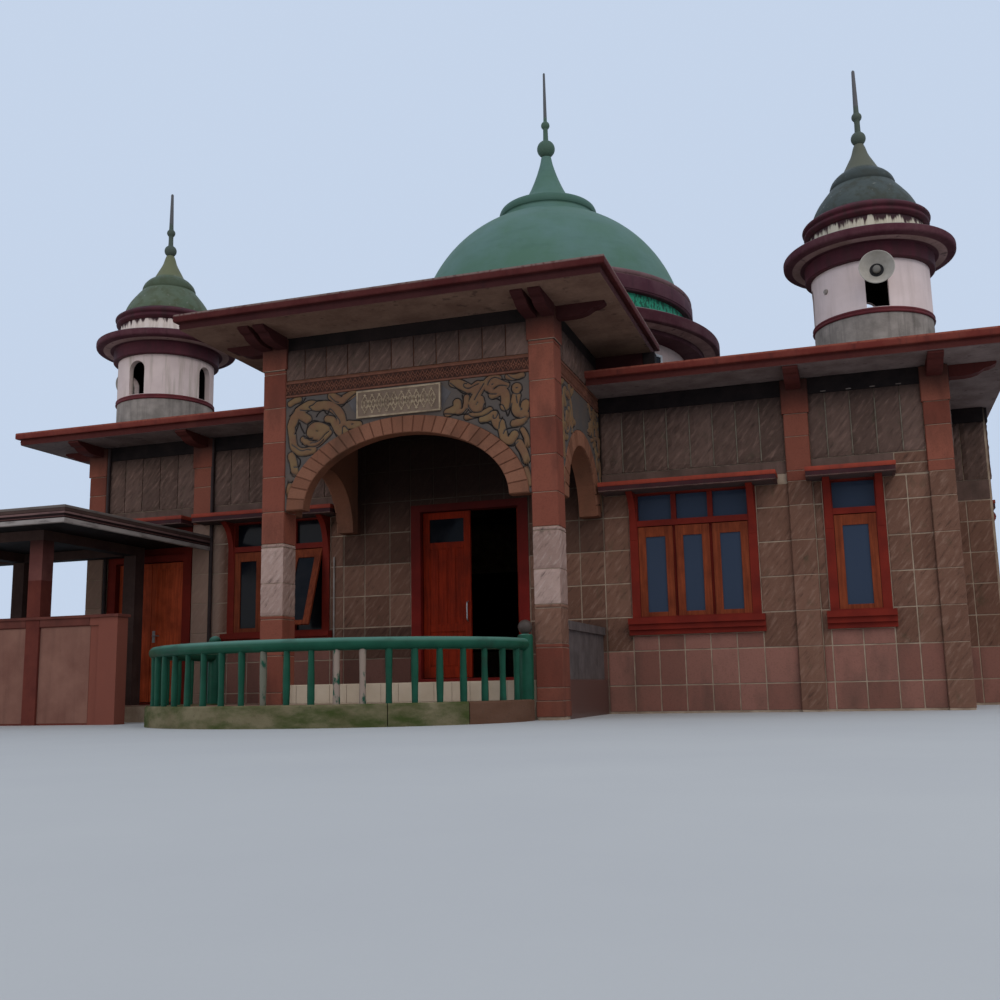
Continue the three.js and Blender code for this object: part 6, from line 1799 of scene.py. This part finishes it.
# %% Pipes, stub and drum window
pipes, conduit, drum_frame, drum_pane = Heap(), Heap(), Heap(), Heap()
DARK_PIPE = make_plain("dark_pipe", (0.028, 0.018, 0.017), (0.05, 0.03, 0.026), 0.5, 6, 0.0008)
WHITE_PAINT = make_plain("white_paint", (0.66, 0.66, 0.66), (0.52, 0.52, 0.52), 0.6, 8, 0.0005)
WHITE_PLASTIC = make_plain("white_plastic", (0.42, 0.36, 0.31), (0.28, 0.22, 0.18), 0.5, 8, 0.0005)
for x in (-3.70, -5.40):
    add_tube(pipes, [(x, -4.315, z) for z in np.linspace(0.2, 3.80, 12)], 0.026, 14, up=(1, 0, 0))
add_tube(conduit, [(-1.862, -4.29, z) for z in np.linspace(0.25, 2.05, 8)], 0.011, 10, up=(1, 0, 0))
STUB_ANGLE, STUB_HEIGHT = -138.3, 4.898
stub, way_out = Heap(), math.radians(STUB_ANGLE)
add_tube(stub, [(TURRET[0] + r * math.cos(way_out), TURRET[1] + r * math.sin(way_out), STUB_HEIGHT)
                for r in (0.67, 0.68, 0.69, 0.705)], [0.034, 0.034, 0.034, 0.026], 14)
stub.make("turret_pipe_stub", GREY_CONCRETE, "concrete", smooth=40)
pipes.make("downpipes", DARK_PIPE, "maroon_paint", smooth=40)
conduit.make("conduit", WHITE_PLASTIC, "concrete", smooth=40)
WINDOW_ANGLE, DRUM_RADIUS, FRAME_WIDTH = math.radians(-28.7), 2.2, 0.04
DRUM_WINDOW = (-0.13, 0.13, 5.05, 5.30)
outward = np.array((math.cos(WINDOW_ANGLE), math.sin(WINDOW_ANGLE), 0))
on_drum = plane(DRUM_RADIUS * outward, (-outward[1], outward[0], 0))
add_plates(drum_pane, on_drum, rectangles(*DRUM_WINDOW), 0.006, 0.002)
for limits in border(*DRUM_WINDOW, FRAME_WIDTH):
    add_plates(drum_frame, on_drum, rectangles(*limits), 0.02, 0.003, base=0.0)
drum_frame.make("drum_window_frame", WHITE_PAINT, "concrete")
drum_pane.make("drum_window_pane", GLASS, "window_glass")

# %% [markdown]
# A loudspeaker's bell is turned about its own axis, which is then laid level and turned about the turret.
# Inside are the dark ring of the driver and the pale cone in its middle.

# %% Horns
def make_horn_paint():
    """The tone says which part: the bell at 0, the dark ring at 1, the cone at 0.5."""
    f = Finish("horn_paint", roughness=0.5)
    cloud = f.noise(9, detail=6)
    bell = f.mix(f.steps(cloud, 0.35, 0.7), (0.48, 0.43, 0.37), (0.36, 0.32, 0.27))
    colour = f.mix(f.steps(f.tone(), 0.2, 0.3), bell, (0.17, 0.155, 0.135))
    colour = f.mix(f.steps(f.tone(), 0.7, 0.8), colour, (0.025, 0.022, 0.022))
    return f.done(colour, cloud, 0.0008)


HORN_PAINT = make_horn_paint()
HORN_PROFILE = [
    (0.0, -0.015), (0.02, -0.010), (0.04, 0.0), (0.044, 0.02), (0.046, 0.058), (0.07, 0.06),
    (0.076, 0.058), (0.080, 0.055),
    *flowing([(0.085, 0.052), (0.12, 0.028), (0.155, -0.012), (0.184, -0.052)], 12),
    (0.190, -0.060), (0.196, -0.056), (0.194, -0.048),
    *flowing([(0.186, -0.042), (0.155, 0.008), (0.12, 0.05), (0.085, 0.088), (0.064, 0.115)], 12),
    (0.062, 0.12), (0.062, 0.195), (0.056, 0.20), (0.0, 0.20)]
HORN_MOUTH, HORN_STEPS = -0.925, 48


def horn_tone(radius, run):
    if radius < 0.045 and run < 0.03:
        return 0.5
    return 1.0 if radius < 0.078 and run < 0.07 else 0.0


def add_horn(node, side, steps, z, shift):
    """(shift + r cos t, mouth + run, z + r sin t), turned about the turret by whole steps of 18 degrees.
    Local y runs from the bell's mouth to the driver; the turret's wall is at local y = -0.685."""
    t = np.arange(HORN_STEPS) / HORN_STEPS * 2 * math.pi
    radius, run = np.array(HORN_PROFILE).T[:, :, None]
    points = np.stack([shift + radius * np.cos(t), HORN_MOUTH + run + 0 * t, z + radius * np.sin(t)], -1)
    turned_round = turn_about(0, 0, steps * 18)

    def hung(local):
        return turned_round(local) + (side * TURRET[0], TURRET[1], 0)

    horn = Heap()
    horn.add(hung(points), grid_faces(len(HORN_PROFILE), HORN_STEPS, ring_columns=True),
             np.repeat([horn_tone(*point) for point in HORN_PROFILE], HORN_STEPS))
    add_block(horn, -0.02, 0.02, -0.79, -0.684, z + 0.01, z + 0.03, 0.9, hung)
    add_block(horn, -0.018, 0.018, -0.70, -0.684, z + 0.01, 5.14, 0.9, hung)
    horn.make(f"{node}_bell", HORN_PAINT, "horn_metal", smooth=35, stands_for=(node,))


add_horn("horn_left_side", -1, -6, 5.05, 0)
add_horn("horn_right_front", 1, 0, 4.94, 0.058)
add_horn("horn_right_side", 1, 8, 5.05, 0)

# %% [markdown]
# The solids that stay in sight get their finish here: bare walls show as the joints between plates, and
# the roofs' soffits, frames, floors and glass keep their own shapes.

# %% Finishes of the solids
def dress(finish, *names):
    for name in names:
        for place in nodes[name].material_slots:
            place.material = finish


dress(MORTAR, "front_wall_left_end", "front_wall_over_side_door", "front_wall_left",
      "front_wall_over_main_door", "front_wall_right", "left_side_wall", "right_side_wall", "rear_wall",
      "portico_column_left", "portico_column_right", "terrace_floor")
dress(WEDGE, "portico_arch", "portico_side_arch_left", "portico_side_arch_right")
dress(PLAQUE_STONE, "portico_plaque")
dress(HALL_SLAB, "hall_roof")
dress(PORTICO_SLAB, "portico_roof")
dress(WINDOW_RED, "window_left_frame", "window_right_frame", "window_far_right_frame", "side_door_frame")
dress(PAINTED_RED, "main_door_frame")
dress(GLASS, "window_left_glass", "window_right_glass", "window_far_right_glass", "left_side_glass",
      "right_side_glass", "rear_glass")
dress(FLOOR_TILE, "hall_floor", "side_entry_floor", "porch_floor")
dress(PORCH_WALL_SHADED, "porch_side_wall")
dress(PAVILION_SLAB_WITH_SHADE, "pavilion_roof")
dress(PIER_RED, "pavilion_low_wall")
print("solids still in sight:", sum(not node.hide_render for node in nodes.values()))
